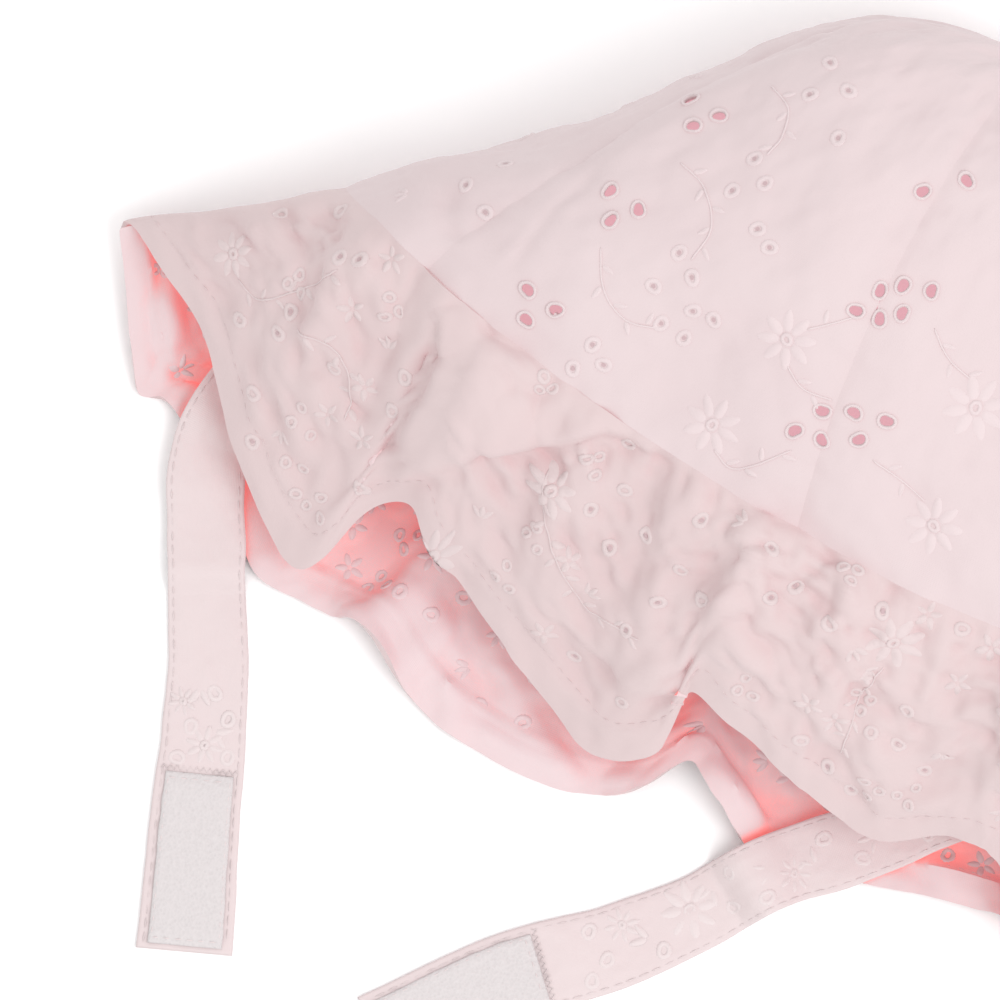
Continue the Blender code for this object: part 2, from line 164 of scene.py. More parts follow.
# Columns: share round the crown, station, reach in shares, reach in stations, rise.
CROWN_DENTS = (
    (0.070, 0.10, 0.040, 0.14, -0.045),
    (0.130, 0.38, 0.035, 0.20, -0.030),
    (0.055, 0.48, 0.040, 0.16, 0.035),
    (0.930, 0.30, 0.045, 0.20, -0.030),
    (0.865, 0.12, 0.035, 0.15, -0.040),
)

# Columns: share round the seam, across, along, height, puff.
BRIM_EDGE = (
    (0.000, 0.041, -0.570, 0.94, 0.20),
    (0.012, -0.016, -0.530, 0.98, 0.20),
    (0.035, -0.020, -0.745, 0.60, 0.14),
    (0.055, -0.090, -0.840, 0.40, 0.10),
    (0.090, -0.279, -0.680, 0.52, 0.12),
    (0.125, -0.428, -0.550, 0.74, 0.18),
    (0.140, -0.476, -0.490, 0.84, 0.20),
    (0.155, -0.524, -0.580, 0.60, 0.14),
    (0.172, -0.561, -0.783, 0.30, 0.08),
    (0.200, -0.720, -0.565, 0.36, 0.12),
    (0.228, -0.850, -0.295, 0.44, 0.14),
    (0.256, -1.000, -0.145, 0.24, 0.06),
    (0.285, -0.945, -0.345, 0.14, 0.00),
    (0.305, -0.890, -0.520, 0.06, 0.00),
    (0.315, -0.868, -0.571, 0.04, 0.00),
    (0.325, -0.835, -0.550, 0.03, 0.00),
    (0.342, -0.755, -0.640, 0.00, 0.02),
    (0.360, -0.655, -0.800, 0.00, 0.02),
    (0.370, -0.613, -0.862, 0.00, 0.03),
    (0.387, -0.545, -0.868, 0.02, 0.03),
    (0.400, -0.490, -0.862, 0.04, 0.03),
    (0.412, -0.446, -0.845, 0.14, 0.05),
    (0.425, -0.368, -0.943, 0.04, 0.05),
    (0.445, -0.261, -1.000, 0.00, 0.04),
    (0.475, -0.072, -0.958, 0.00, 0.03),
    (0.490, -0.013, -0.868, 0.12, 0.04),
    (0.503, 0.024, -0.730, 0.24, 0.05),
    (0.517, 0.080, -0.782, 0.22, 0.05),
    (0.540, 0.160, -0.874, 0.02, 0.04),
    (0.565, 0.296, -0.810, 0.00, 0.03),
    (0.590, 0.420, -0.730, 0.08, 0.03),
    (0.615, 0.530, -0.680, 0.03, 0.03),
    (0.655, 0.680, -0.740, 0.00, 0.02),
    (0.690, 0.870, -0.580, 0.04, 0.00),
    (0.715, 0.960, -0.380, 0.12, 0.00),
    (0.744, 1.000, -0.145, 0.24, 0.06),
    (0.775, 0.865, -0.320, 0.43, 0.14),
    (0.805, 0.728, -0.550, 0.38, 0.12),
    (0.835, 0.570, -0.730, 0.32, 0.08),
    (0.870, 0.462, -0.560, 0.62, 0.16),
    (0.905, 0.395, -0.550, 0.68, 0.16),
    (0.930, 0.299, -0.665, 0.52, 0.12),
    (0.955, 0.197, -0.650, 0.68, 0.15),
    (0.980, 0.122, -0.615, 0.82, 0.18),
)

# Columns: across, along, width.
STRAP_ROUTES = {
    "left": (
        (-0.890, 0.060, 0.91),
        (-0.955, -0.120, 0.91),
        (-0.985, -0.305, 0.92),
        (-0.890, -0.470, 0.92),
        (-0.790, -0.620, 0.95),
        (-0.695, -0.800, 1.05),
        (-0.592, -0.998, 1.13),
    ),
    "right": (
        (0.850, 0.050, 0.91),
        (0.690, -0.110, 0.91),
        (0.490, -0.240, 0.92),
        (0.359, -0.376, 0.91),
        (0.248, -0.479, 0.89),
        (0.180, -0.571, 0.89),
        (0.104, -0.655, 0.97),
        (-0.054, -0.792, 1.06),
        (-0.213, -0.974, 1.11),
    ),
}

# Where the photograph's frame lies on the hat
PHOTO_SIZE = 1000
METRES_PER_PIXEL = 0.0002
SEAM_MIDDLE_PIXEL = (794.0, 530.0)
IMAGE_RIGHT = (0.876, 0.482)
CAMERA_HEIGHT = 8.0
SENSOR = 0.036

# Embroidery, by its pixels in the photograph.
# Columns: x, y.
CROWN_OPEN = (
    (528, 292), (526, 321), (555, 311), (610, 194), (609, 223), (637, 213),
    (690, 103), (691, 129), (718, 120), (853, 312), (877, 292), (899, 288),
    (928, 292), (899, 315), (877, 320), (793, 431), (819, 411), (852, 413),
    (884, 421), (857, 440), (819, 440), (919, 194), (963, 183),
)
CROWN_RINGS = (
    (753, 163), (731, 193), (763, 187), (678, 255), (652, 287), (690, 280),
    (828, 67), (808, 98), (846, 95), (467, 187),
    (486, 215), (505, 168), (755, 232), (768, 250), (691, 312), (660, 325),
    (713, 320), (683, 338), (592, 345), (572, 370), (603, 366), (835, 142),
)
BRIM_RINGS = (
    (610, 546), (647, 535), (519, 606), (551, 599), (629, 606), (658, 601),
    (626, 629), (268, 318), (292, 312), (279, 333), (768, 598), (793, 586),
    (740, 545), (768, 548), (828, 765), (850, 787), (700, 520), (589, 508),
    (480, 632), (575, 655), (342, 258), (360, 262), (210, 262), (247, 415),
    (252, 440), (896, 742), (922, 768), (880, 610), (372, 300), (405, 450), (460, 445),
)
# Columns: x, y, radius in pixels, turn in degrees.
CROWN_DAISIES = ((972, 408, 34, 10), (930, 525, 31, 30), (712, 425, 31, 0), (785, 340, 31, 20))
BRIM_DAISIES = ((551, 491, 30, 5), (235, 255, 24, 15), (890, 640, 30, 0), (425, 560, 24, 12))
# Stems, each a short run of pixels.
CROWN_STEMS = (
    ((770, 90), (786, 112), (780, 140), (765, 160)),
    ((680, 165), (703, 190), (710, 230), (690, 262)),
    ((600, 250), (603, 290), (625, 320), (660, 330)),
    ((930, 330), (945, 360), (972, 385)),
    ((870, 460), (900, 480), (922, 500)),
    ((712, 450), (735, 470), (790, 450)),
    ((785, 365), (800, 390), (830, 400)),
    ((805, 330), (830, 325), (850, 318)),
)
BRIM_STEMS = (
    ((549, 469), (546, 510), (553, 549), (569, 583), (587, 606), (610, 622), (640, 640)),
    ((300, 330), (330, 345), (350, 380), (345, 420)),
    ((240, 280), (262, 300), (300, 290), (340, 270)),
    ((880, 665), (856, 700), (840, 750)),
)

# Folds that the photograph shows in the upper layer: a run of pixels, the depth, and how far in
# pixels it reaches to the left and to the right of that run.
CROWN_FOLDS = (
    (((605, 157), (575, 187), (553, 206), (530, 237), (500, 280)), 0.0008, 10, 6),
    (((447, 178), (443, 215), (452, 248)), 0.0012, 13, 13),
    (((345, 190), (372, 232), (418, 300), (446, 345)), 0.0006, 14, 5),
    (((470, 260), (520, 225), (560, 180)), 0.0005, 30, 14),
    (((600, 430), (690, 380), (760, 300)), 0.0004, 40, 26),
)
BRIM_FOLDS = (
    (
        ((400, 275), (436, 325), (434, 360), (420, 395), (398, 430), (384, 470), (392, 494),
         (455, 470), (528, 456), (606, 437), (674, 464), (706, 490)),
        0.0028, 5, 46,
    ),
    (((233, 333), (247, 357), (260, 387), (277, 431), (249, 450)), 0.0017, 15, 5),
    (((275, 433), (296, 472), (314, 528)), 0.0010, 12, 4),
    (((294, 331), (299, 376), (330, 372)), 0.0008, 10, 5),
    (((338, 359), (349, 396), (370, 429)), 0.0009, 12, 5),
    (((715, 666), (762, 683), (791, 708), (842, 759), (873, 822)), 0.0014, 5, 20),
    (((810, 632), (825, 676)), 0.0012, 12, 4),
    (((849, 671), (854, 749)), 0.0012, 12, 4),
    (((520, 600), (567, 632), (606, 677), (642, 700)), 0.0015, 5, 26),
    (((838, 552), (790, 585), (755, 610), (735, 635)), 0.0011, 7, 24),
    (((590, 470), (640, 520), (700, 560)), 0.0008, 22, 10),
    (((900, 560), (905, 620), (930, 660)), 0.0008, 16, 6),
    (((440, 560), (500, 610), (540, 680)), 0.0008, 14, 6),
)
# The smooth cloth over the fold above the second lobe. Columns: x, y, radius in pixels.
PLAIN_CLOTH = (
    (440, 290, 26), (452, 335, 34), (470, 385, 52), (430, 440, 40), (505, 425, 44), (560, 425, 36), (600, 428, 22),
)
# Folds that stand up from the back of the brim, which lies on the floor, written in the same way.
LOWER_FOLDS = (
    (((385, 700), (402, 682), (425, 655), (461, 612)), 0.0034, 24, 5),
    (((430, 655), (459, 699), (452, 750)), 0.0022, 5, 16),
    (((340, 585), (372, 630), (395, 680)), 0.0020, 5, 16),
    (((500, 670), (545, 730), (590, 800)), 0.0020, 6, 24),
    (((455, 715), (520, 750), (600, 780), (650, 775)), 0.0011, 7, 7),
    (((705, 755), (745, 800), (770, 835)), 0.0020, 5, 16),
    (((900, 845), (950, 870), (1000, 880)), 0.0012, 5, 14),
)

# Strap embroidery, by its distance from the strap's free end and its share across.
# Columns: distance, across, radius in pixels, turn in degrees.
STRAP_FLOWERS = {
    "left": ((0.0415, 0.52, 20, 12), (0.0500, 0.22, 15, 30)),
    "right": ((0.0680, 0.42, 30, 12), (0.0540, 0.28, 18, 5), (0.0900, 0.62, 20, 20)),
}
# Columns: distance, across.
STRAP_EYELETS = {
    "left": ((0.0385, 0.22), (0.0395, 0.80), (0.0470, 0.78), (0.0520, 0.60), (0.0450, 0.34)),
    "right": (
        (0.0470, 0.24), (0.0490, 0.62), (0.0450, 0.80), (0.0600, 0.76), (0.0790, 0.25), (0.0830, 0.78),
        (0.0980, 0.30), (0.1040, 0.70), (0.1120, 0.32), (0.1180, 0.74), (0.0760, 0.68),
    ),
}
# Columns: distance, across, turn in radians.
STRAP_LEAVES = {
    "left": ((0.0530, 0.42, 1.6), (0.0440, 0.62, 0.3)),
    "right": (
        (0.0580, 0.55, 2.2), (0.0740, 0.30, 0.8), (0.0860, 0.45, 1.5), (0.0950, 0.60, 2.6), (0.1080, 0.50, 1.1),
    ),
}

# Colours of the cloth and a slightly darker tone mixed into it at random, outside and inside; the painted shade in its
# folds; the painted shade and painted glow in the hollows of its inside; the painted shade in the middles of its
# eyelets; the thread and the tape
CROWN_PINK = (0.600, 0.508, 0.514)
CROWN_SHADE = (0.582, 0.478, 0.486)
BRIM_PINK = (0.585, 0.485, 0.485)
BRIM_SHADE = (0.565, 0.445, 0.448)
STRAP_PINK = (0.630, 0.545, 0.545)
STRAP_SHADE = (0.618, 0.522, 0.525)
# Painted shade: the deeper pink that the crown's and brim's outside turns to in folds and hollows where little sky
# reaches
PAINTED_FOLD_SHADE = (0.620, 0.350, 0.365)
INSIDE = (0.660, 0.550, 0.562)
INSIDE_SHADE = (0.655, 0.505, 0.518)
# Painted shade and painted glow: the deep pinks that the inside turns to and shines with in its hollows and under the
# brim, the second inside the crown where its eyelets show it
INSIDE_PAINTED_SHADE_GLOW = (0.860, 0.205, 0.190)
CROWN_INSIDE_PAINTED_GLOW = (0.480, 0.315, 0.345)
THREAD = (0.622, 0.530, 0.536)
THREAD_SHADE = (0.606, 0.504, 0.512)
BRIM_THREAD = (0.600, 0.505, 0.507)
STRAP_THREAD = (0.650, 0.575, 0.575)
# Painted shade: the dark colour of the small disc in the middle of each closed eyelet
PIT_SHADE = (0.470, 0.345, 0.360)
TAPE = (0.590, 0.550, 0.552)


def smooth_rows(rows, at):
    """Reads a smooth curve through the rows. Their first column is the place along it."""
    table = np.asarray(rows, float)
    knots, values = table[:, 0], table[:, 1:]
    slopes = np.gradient(values, knots, axis=0)
    cell = np.clip(np.searchsorted(knots, at, side="right") - 1, 0, len(knots) - 2)
    width = (knots[cell + 1] - knots[cell])[..., None]
    part = (at - knots[cell])[..., None] / width
    return (
        (2 * part**3 - 3 * part**2 + 1) * values[cell]
        + (part**3 - 2 * part**2 + part) * width * slopes[cell]
        + (3 * part**2 - 2 * part**3) * values[cell + 1]
        + (part**3 - part**2) * width * slopes[cell + 1]
    )


def unit(vectors):
    """The vectors, each at length 1."""
    return vectors / np.maximum(np.linalg.norm(vectors, axis=-1, keepdims=True), 1e-12)


def fade(start, end, value):
    """0 before start, 1 after end, and smooth between."""
    part = np.clip((value - start) / (end - start), 0.0, 1.0)
    return part * part * (3.0 - 2.0 * part)


def ripple(shape, cells, seed, closed=True):
    """Smooth random rises between -1 and 1 on a grid, the same each run."""
    lattice = np.random.default_rng(seed).uniform(-1.0, 1.0, (cells[0] + 2, cells[1] + 1))
    if closed:
        lattice[:, -1] = lattice[:, 0]
    rows = np.linspace(0.0, cells[0], shape[0])
    columns = np.linspace(0.0, cells[1], shape[1], endpoint=not closed)
    r, c = np.minimum(rows.astype(int), cells[0]), np.minimum(columns.astype(int), cells[1] - 1)
    down = fade(0.0, 1.0, rows - r)[:, None]
    over = fade(0.0, 1.0, columns - c)[None, :]
    near = lattice[np.ix_(r, c)] * (1 - over) + lattice[np.ix_(r, c + 1)] * over
    far = lattice[np.ix_(r + 1, c)] * (1 - over) + lattice[np.ix_(r + 1, c + 1)] * over
    return near * (1 - down) + far * down


class Cloth:
    """A fine grid of cloth, read by its row and column anywhere between its points."""

    def __init__(self, points, normals, closed):
        self.points, self.normals, self.closed = points, normals, closed
        self.rows, self.columns = points.shape[:2]
        self.row_length = float(np.median(np.linalg.norm(np.diff(points, axis=0), axis=2)))
        self.column_length = float(np.median(np.linalg.norm(np.diff(points, axis=1), axis=2)))

    def cells(self, row, column):
        """The grid cell that holds each place, the next column, and how far down and over it lies."""
        row = np.clip(row, 0.0, self.rows - 1.001)
        column = column % self.columns if self.closed else np.clip(column, 0.0, self.columns - 1.001)
        r, c = np.floor(row).astype(int), np.floor(column).astype(int)
        return r, c, (c + 1) % self.columns, (row - r)[..., None], (column - c)[..., None]

    def read(self, grid, row, column):
        """Reads a grid of values smoothly between its rows and columns."""
        r, c, d, down, over = self.cells(np.asarray(row, float), np.asarray(column, float))
        near = grid[r, c] * (1 - over) + grid[r, d] * over
        far = grid[r + 1, c] * (1 - over) + grid[r + 1, d] * over
        return near * (1 - down) + far * down

    def at(self, row, column, lift=0.0):
        """The place on the cloth, lifted along its normal."""
        rise = np.asarray(lift, float)[..., None]
        return self.read(self.points, row, column) + unit(self.read(self.normals, row, column)) * rise

    def steps(self, row, column):
        """One column and one row further from a place on the cloth."""
        step = 4.0
        beside = (self.at(row, column + step) - self.at(row, column - step)) / (2 * step)
        return beside, (self.at(row + 1.0, column) - self.at(row - 1.0, column)) / 2.0

    def spread(self, row, column, across, along, lift):
        """Points at distances across and along the cloth from one place on it, raised by lift."""
        beside, ahead = self.steps(row, column)
        one = unit(beside)
        skew = float(ahead @ one)
        two = unit(ahead - skew * one)
        rows = np.asarray(along, float) / max(float(ahead @ two), 1e-6)
        columns = (np.asarray(across, float) - skew * rows) / max(float(np.linalg.norm(beside)), 1e-6)
        return self.at(row + rows, column + columns, lift)


def normals_round(points, wrap=True):
    """Unit normals of a grid of points, which may close on itself round its columns."""
    along = np.gradient(points, axis=0)
    if wrap:
        around = np.roll(points, -1, axis=1) - np.roll(points, 1, axis=1)
    else:
        around = np.gradient(points, axis=1)
    return unit(np.cross(along, around))


def panel_bounds():
    """Shares round the crown where its six panels meet."""
    front, side = FRONT_PANEL_SHARE, SIDE_PANEL_SHARE
    return (0.0, front, front + side, 0.5, 1.0 - front - side, 1.0 - front, 1.0)


def away(shares, centre):
    """How far each share lies from the centre, the shorter way round."""
    return np.abs((shares - centre + 0.5) % 1.0 - 0.5)


def crown_loop(section, station, shares):
    """Points of the crown at one station, at even shares of its way round."""
    along, width, top, side, floor = section
    floor = max(floor, 0.0)
    turn = np.linspace(0.0, 2.0 * math.pi, 2 * len(shares) + 1)
    sine, cosine = np.sin(turn), np.cos(turn)
    across = -SEAM_HALF_WIDTH * width * np.sign(sine) * np.abs(sine) ** CROWN_ROUNDNESS
    forward = CROWN_LENGTH * along + SEAM_SWEEP * (1.0 - station) ** 2 * sine**2
    arch = side + (top - side) * (1.0 - (1.0 - np.clip(cosine, 0.0, 1.0)) ** ARCH_POWER)
    under = 1.0 - (1.0 - np.clip(-cosine / FLAT_FROM, 0.0, 1.0)) ** UNDER_POWER
    rest = side - (side - floor) * under
    height = CROWN_WALL / 2 + (CROWN_HEIGHT - CROWN_WALL) * np.where(cosine > 0.0, arch, rest)
    loop = np.stack([across, forward, height], axis=1)
    steps = np.linalg.norm(np.diff(loop, axis=0), axis=1)
    travelled = np.concatenate([[0.0], np.cumsum(steps)])
    wanted = shares * travelled[-1]
    return np.stack([np.interp(wanted, travelled, loop[:, axis]) for axis in range(3)], axis=1)


def seam_lean(stations):
    """How far the panels' seams lean round the crown at each station, in shares."""
    return SEAM_LEAN * np.sin(math.pi / 2 * np.clip(stations / LEAN_STATION, 0.0, 1.0))


def seam_shown(shares):
    """0 where a fold of cloth lies over the seam of the brim, and 1 elsewhere."""
    return (1.0 - fade(0.085, 0.105, shares) * (1.0 - fade(0.185, 0.20, shares)))[None, :]


def to_pixel(x, y):
    """The pixel of the photograph that shows a place on the hat, in plan."""
    right, down = x / METRES_PER_PIXEL, y / METRES_PER_PIXEL
    return (
        SEAM_MIDDLE_PIXEL[0] + right * IMAGE_RIGHT[0] + down * IMAGE_RIGHT[1],
        SEAM_MIDDLE_PIXEL[1] + right * IMAGE_RIGHT[1] - down * IMAGE_RIGHT[0],
    )


def lying(normals):
    """1 where the cloth lies fairly flat, and 0 where it is steep."""
    return fade(0.25, 0.70, np.abs(normals[:, :, 2]))


def plain(points):
    """1 on the smooth cloth over the fold above the second lobe, and 0 elsewhere."""
    x, y = to_pixel(points[:, :, 0], points[:, :, 1])
    shares = np.arange(points.shape[1]) / points.shape[1]
    found = np.zeros(points.shape[:2])
    for px, py, radius in PLAIN_CLOTH:
        found = np.maximum(found, 1.0 - fade(0.5, 1.2, np.hypot(x - px, y - py) / radius))
    return found * (away(shares, 0.0) < UPPER_REACH)[None, :]


def fold_rise(points, normals, folds, upper):
    """How far the folds move each point of one layer along its normal, where it isn't steep."""
    x, y = to_pixel(points[:, :, 0], points[:, :, 1])
    shares = np.arange(points.shape[1]) / points.shape[1]
    layer = (away(shares, 0.0) < UPPER_REACH) == upper
    rise = np.zeros(points.shape[:2])
    for run, depth, left, right in folds:
        nearest = np.full(rise.shape, np.inf)
        turned, travelled, walked = np.zeros(rise.shape), np.zeros(rise.shape), 0.0
        for (ax, ay), (bx, by) in zip(run[:-1], run[1:]):
            dx, dy = bx - ax, by - ay
            along = np.clip(((x - ax) * dx + (y - ay) * dy) / (dx * dx + dy * dy), 0.0, 1.0)
            distance = np.hypot(x - ax - along * dx, y - ay - along * dy)
            closer = distance < nearest
            turned = np.where(closer, dx * (y - ay) - dy * (x - ax), turned)
            travelled = np.where(closer, walked + along * math.hypot(dx, dy), travelled)
            nearest = np.where(closer, distance, nearest)
            walked += math.hypot(dx, dy)
        reach = np.where(turned > 0.0, right, left)
        ends = fade(0.0, 0.2, travelled / walked) * (1.0 - fade(0.8, 1.0, travelled / walked))
        rise -= depth * ends * np.exp(-((nearest / reach) ** 2)) * layer[None, :]
    return rise * lying(normals)


def crown_cloth():
    """The crown from its seam to its apex, with creased seams, soft dents and fine wrinkles."""
    stations = np.linspace(0.0, LAST_STATION, CROWN_ROWS + 1)
    shares = np.arange(ROUND) / ROUND
    sections = smooth_rows(CROWN_SECTIONS, stations)
    points = np.stack([crown_loop(s, t, shares) for s, t in zip(sections, stations)])
    normals = normals_round(points)
    girth = np.linalg.norm(np.roll(points, -1, axis=1) - points, axis=2).sum(axis=1)[:, None]
    lean = seam_lean(stations)[:, None]
    nearest = np.min([away(shares[None, :], bound + lean) for bound in panel_bounds()[:-1]], axis=0) * girth
    moved = -SEAM_CREASE * np.exp(-((nearest / SEAM_CREASE_WIDTH) ** 2))
    moved -= SEAM_GROOVE * np.exp(-((nearest / SEAM_GROOVE_WIDTH) ** 2))
    shape = points.shape[:2]
    puckers = np.sin(2.0 * math.pi * stations[:, None] * PUCKERS + 4.0 * ripple(shape, (9, 6), 3))
    moved += PUCKER_DEPTH * puckers * np.exp(-((nearest / PUCKER_REACH) ** 2))
    moved *= fade(0.0, 0.09, 1.0 - stations)[:, None]
    for share, station, share_reach, station_reach, rise in CROWN_DENTS:
        round_it = away(shares, share)[None, :] / share_reach
        along_it = (stations[:, None] - station) / station_reach
        moved += rise * CROWN_HEIGHT * np.exp(-(round_it**2) - along_it**2)
    calm = fade(0.0, 0.12, 1.0 - stations)[:, None]
    moved += calm * 0.0009 * ripple(shape, (8, 26), 11)
    moved += calm * 0.0005 * fade(0.02, 0.22, 1.0 - stations)[:, None] * ripple(shape, (17, 56), 12)
    wide = fade(0.06, 0.30, 1.0 - stations)[:, None]  # the panels are too narrow for fine wrinkles near the apex
    moved += wide * 0.00022 * ripple(shape, (38, 120), 13)
    moved += wide * 0.00009 * ripple(shape, (90, 300), 15)
    gathered = np.exp(-stations / 0.05)[:, None]
    moved += 0.0004 * gathered * ripple(shape, (4, 110), 14)
    moved -= SEAM_DIP * seam_shown(shares) * np.exp(-((stations[:, None] / 0.010) ** 2))
    moved += fold_rise(points, normals, CROWN_FOLDS, True)
    resting = fade(CROWN_WALL, 3 * CROWN_WALL, points[:, :, 2])
    points = points + normals * (moved * resting)[..., None]
    points[:, :, 2] = np.maximum(points[:, :, 2], CLOTH / 2)
    return Cloth(points, normals_round(points), True)


def rounded(points, steep_share, hem_share):
    """The cloth with its steep parts eased, and its tight bends too where the hem is."""
    for turn in range(ROUNDING):
        if turn % 8 == 0:
            normals = normals_round(points)
            bend = 1.0 - (np.roll(normals, 3, axis=1) * np.roll(normals, -3, axis=1)).sum(axis=2)
            tight = np.max([np.roll(bend, step, axis=1) for step in (-3, 0, 3)], axis=0)
            share = np.maximum(steep_share, hem_share * fade(0.12, 0.45, tight))
        eased = (np.roll(points, 1, axis=1) + np.roll(points, -1, axis=1)) / 2.0
        eased[1:-1] = (eased[1:-1] + (points[:-2] + points[2:]) / 2.0) / 2.0
        eased[0] = points[0]
        points = points + 0.7 * share[..., None] * (eased - points)
    return points


def brim_cloth(crown):
    """The gathered brim from the crown's seam to its edge."""
    steps = np.linspace(0.0, 1.0, BRIM_ROWS + 1)
    shares = np.arange(ROUND) / ROUND
    seam = crown.points[0]
    rows = np.array(BRIM_EDGE)
    before, after = rows[-2:].copy(), rows[:2].copy()
    before[:, 0] -= 1.0
    after[:, 0] += 1.0
    edge = smooth_rows(np.vstack([before, rows, after]), shares)
    tips = SEAM_HALF_WIDTH + BRIM_SIDE_REACH
    height = HEM_WALL / 2 + BRIM_HEIGHT * np.clip(edge[:, 2], 0.0, None)
    outer = np.stack([tips * edge[:, 0], BRIM_DROP * edge[:, 1], height], axis=1)
    step = steps[:, None, None]
    points = seam * (1.0 - step) + outer * step
    bulge = 4.0 * steps * (1.0 - steps) * (1.0 - 0.35 * steps) * (1.0 - 0.5 * np.exp(-((steps / 0.05) ** 2)))
    points[:, :, 2] += BRIM_DEPTH * np.clip(edge[:, 3], 0.0, None) * bulge[:, None]
    gathered = steps * np.exp(-steps / GATHER_REACH) * math.e / GATHER_REACH
    wave = np.sin(2.0 * math.pi * GATHERS * shares)
    normals = -normals_round(points)
    points = points + normals * (GATHER_DEPTH * gathered[:, None] * wave)[..., None]
    normals = -normals_round(points)
    out, shape = steps[:, None], points.shape[:2]
    folded = fold_rise(points, normals, BRIM_FOLDS, True) + fold_rise(points, normals, LOWER_FOLDS, False)
    near_seam = fade(0.0, 0.04, out) * np.exp(-out / 0.20)
    moved = 0.0012 * near_seam * ripple(shape, (3, 120), 21)
    moved += 0.0007 * near_seam * ripple(shape, (4, 230), 22)
    hem = 1.0 - HEM_DEPTH / BRIM_DEPTH
    at_hem = np.exp(-(((out - hem) / 0.05) ** 2))
    moved += 0.0004 * at_hem * ripple(shape, (6, 220), 23)
    moved -= 0.0003 * np.exp(-(((out - hem) / 0.012) ** 2))
    loose = fade(0.02, 0.14, out) * (1.0 - 0.6 * fade(hem - 0.03, hem + 0.03, out))
    for depth, cells_along, cells_round, seed in BRIM_WRINKLES:
        moved += loose * depth * ripple(shape, (cells_along, cells_round), seed)
    smooth = plain(points)
    moved *= (0.2 + 0.8 * lying(normals)) * (1.0 - 0.8 * smooth)
    moved += 0.0008 * smooth + SEAM_DIP * seam_shown(shares) * (1.0 - np.exp(-((out / 0.018) ** 2)))
    points = points + normals * (moved + folded * fade(0.0, 0.05, out))[..., None]
    points = rounded(points, 1.0 - lying(normals), fade(0.55, 0.75, out))
    points[:, :, 2] = np.maximum(points[:, :, 2], CLOTH)
    return Cloth(points, -normals_round(points), True)


SEAM_PLACE = np.array([0.0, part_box("crown_panel_back_left")[0][1], 0.0])


def to_frame(points):
    """Puts points that are measured from the seam's middle into the shared frame."""
    return np.asarray(points) + SEAM_PLACE


def from_pixel(x, y):
    """The place on the hat, in plan, that a pixel of the photograph shows."""
    right, down = x - SEAM_MIDDLE_PIXEL[0], y - SEAM_MIDDLE_PIXEL[1]
    across = right * IMAGE_RIGHT[0] + down * IMAGE_RIGHT[1]
    forward = right * IMAGE_RIGHT[1] - down * IMAGE_RIGHT[0]
    return across * METRES_PER_PIXEL, forward * METRES_PER_PIXEL


def place_on(cloth, x, y):
    """Row and column of the upper cloth at a pixel of the photograph, or None past its edge."""
    across, forward = from_pixel(x, y)
    columns = np.arange(cloth.columns)
    upper = away(columns / cloth.columns, 0.0) < UPPER_REACH
    gap = np.hypot(cloth.points[:, upper, 0] - across, cloth.points[:, upper, 1] - forward)
    row, column = np.unravel_index(np.argmin(gap), gap.shape)
    if gap[row, column] > 0.002:
        return None
    return float(row), float(columns[upper][column])


def all_places(cloth, pixels):
    """The places that the photograph shows, and their like on the sides that it doesn't."""
    found = []
    for pixel in pixels:
        place = place_on(cloth, pixel[0], pixel[1])
        if place is None:
            continue
        row, column = place
        rest = tuple(pixel[2:])
        found.append((row, column) + rest)
        found.append((row, (column + cloth.columns / 2) % cloth.columns) + rest)
        mirrored = (-column) % cloth.columns
        point = cloth.at(row, mirrored)
        if to_pixel(point[0], point[1])[0] > PHOTO_SIZE + 20:
            found.append((row, mirrored) + rest)
            found.append((row, (mirrored + cloth.columns / 2) % cloth.columns) + rest)
    return found


def mesh_object(name, points, faces):
    """A smooth-shaded object of these points and faces."""
    mesh = bpy.data.meshes.new(name)
    mesh.from_pydata(to_frame(points).tolist(), [], [tuple(int(i) for i in face) for face in faces])
    mesh.shade_smooth()
    thing = bpy.data.objects.new(name, mesh)
    bpy.context.collection.objects.link(thing)
    return thing


def add_cloth_uv(mesh, coordinates):
    """Gives each corner of the mesh its place on the flat cloth."""
    layer = mesh.uv_layers.new(name="cloth")
    corners = np.empty(len(mesh.loops), np.int32)
    mesh.loops.foreach_get("vertex_index", corners)
    layer.data.foreach_set("uv", np.ascontiguousarray(coordinates[corners], np.float32).ravel())


def applied(thing):
    """Puts what the modifiers make in place of the mesh."""
    graph = bpy.context.evaluated_depsgraph_get()
    mesh = bpy.data.meshes.new_from_object(thing.evaluated_get(graph))
    mesh.set_sharp_from_angle(angle=math.radians(55.0))
    thing.modifiers.clear()
    thing.data = mesh
    return thing


def oval(turns, row, column):
    """How much wider than round a hand-guided eyelet is at each turn about its middle."""
    return 1.0 + 0.13 * np.sin(2.0 * turns + 1.7 * row) + 0.04 * np.sin(3.0 * turns + 2.3 * column)


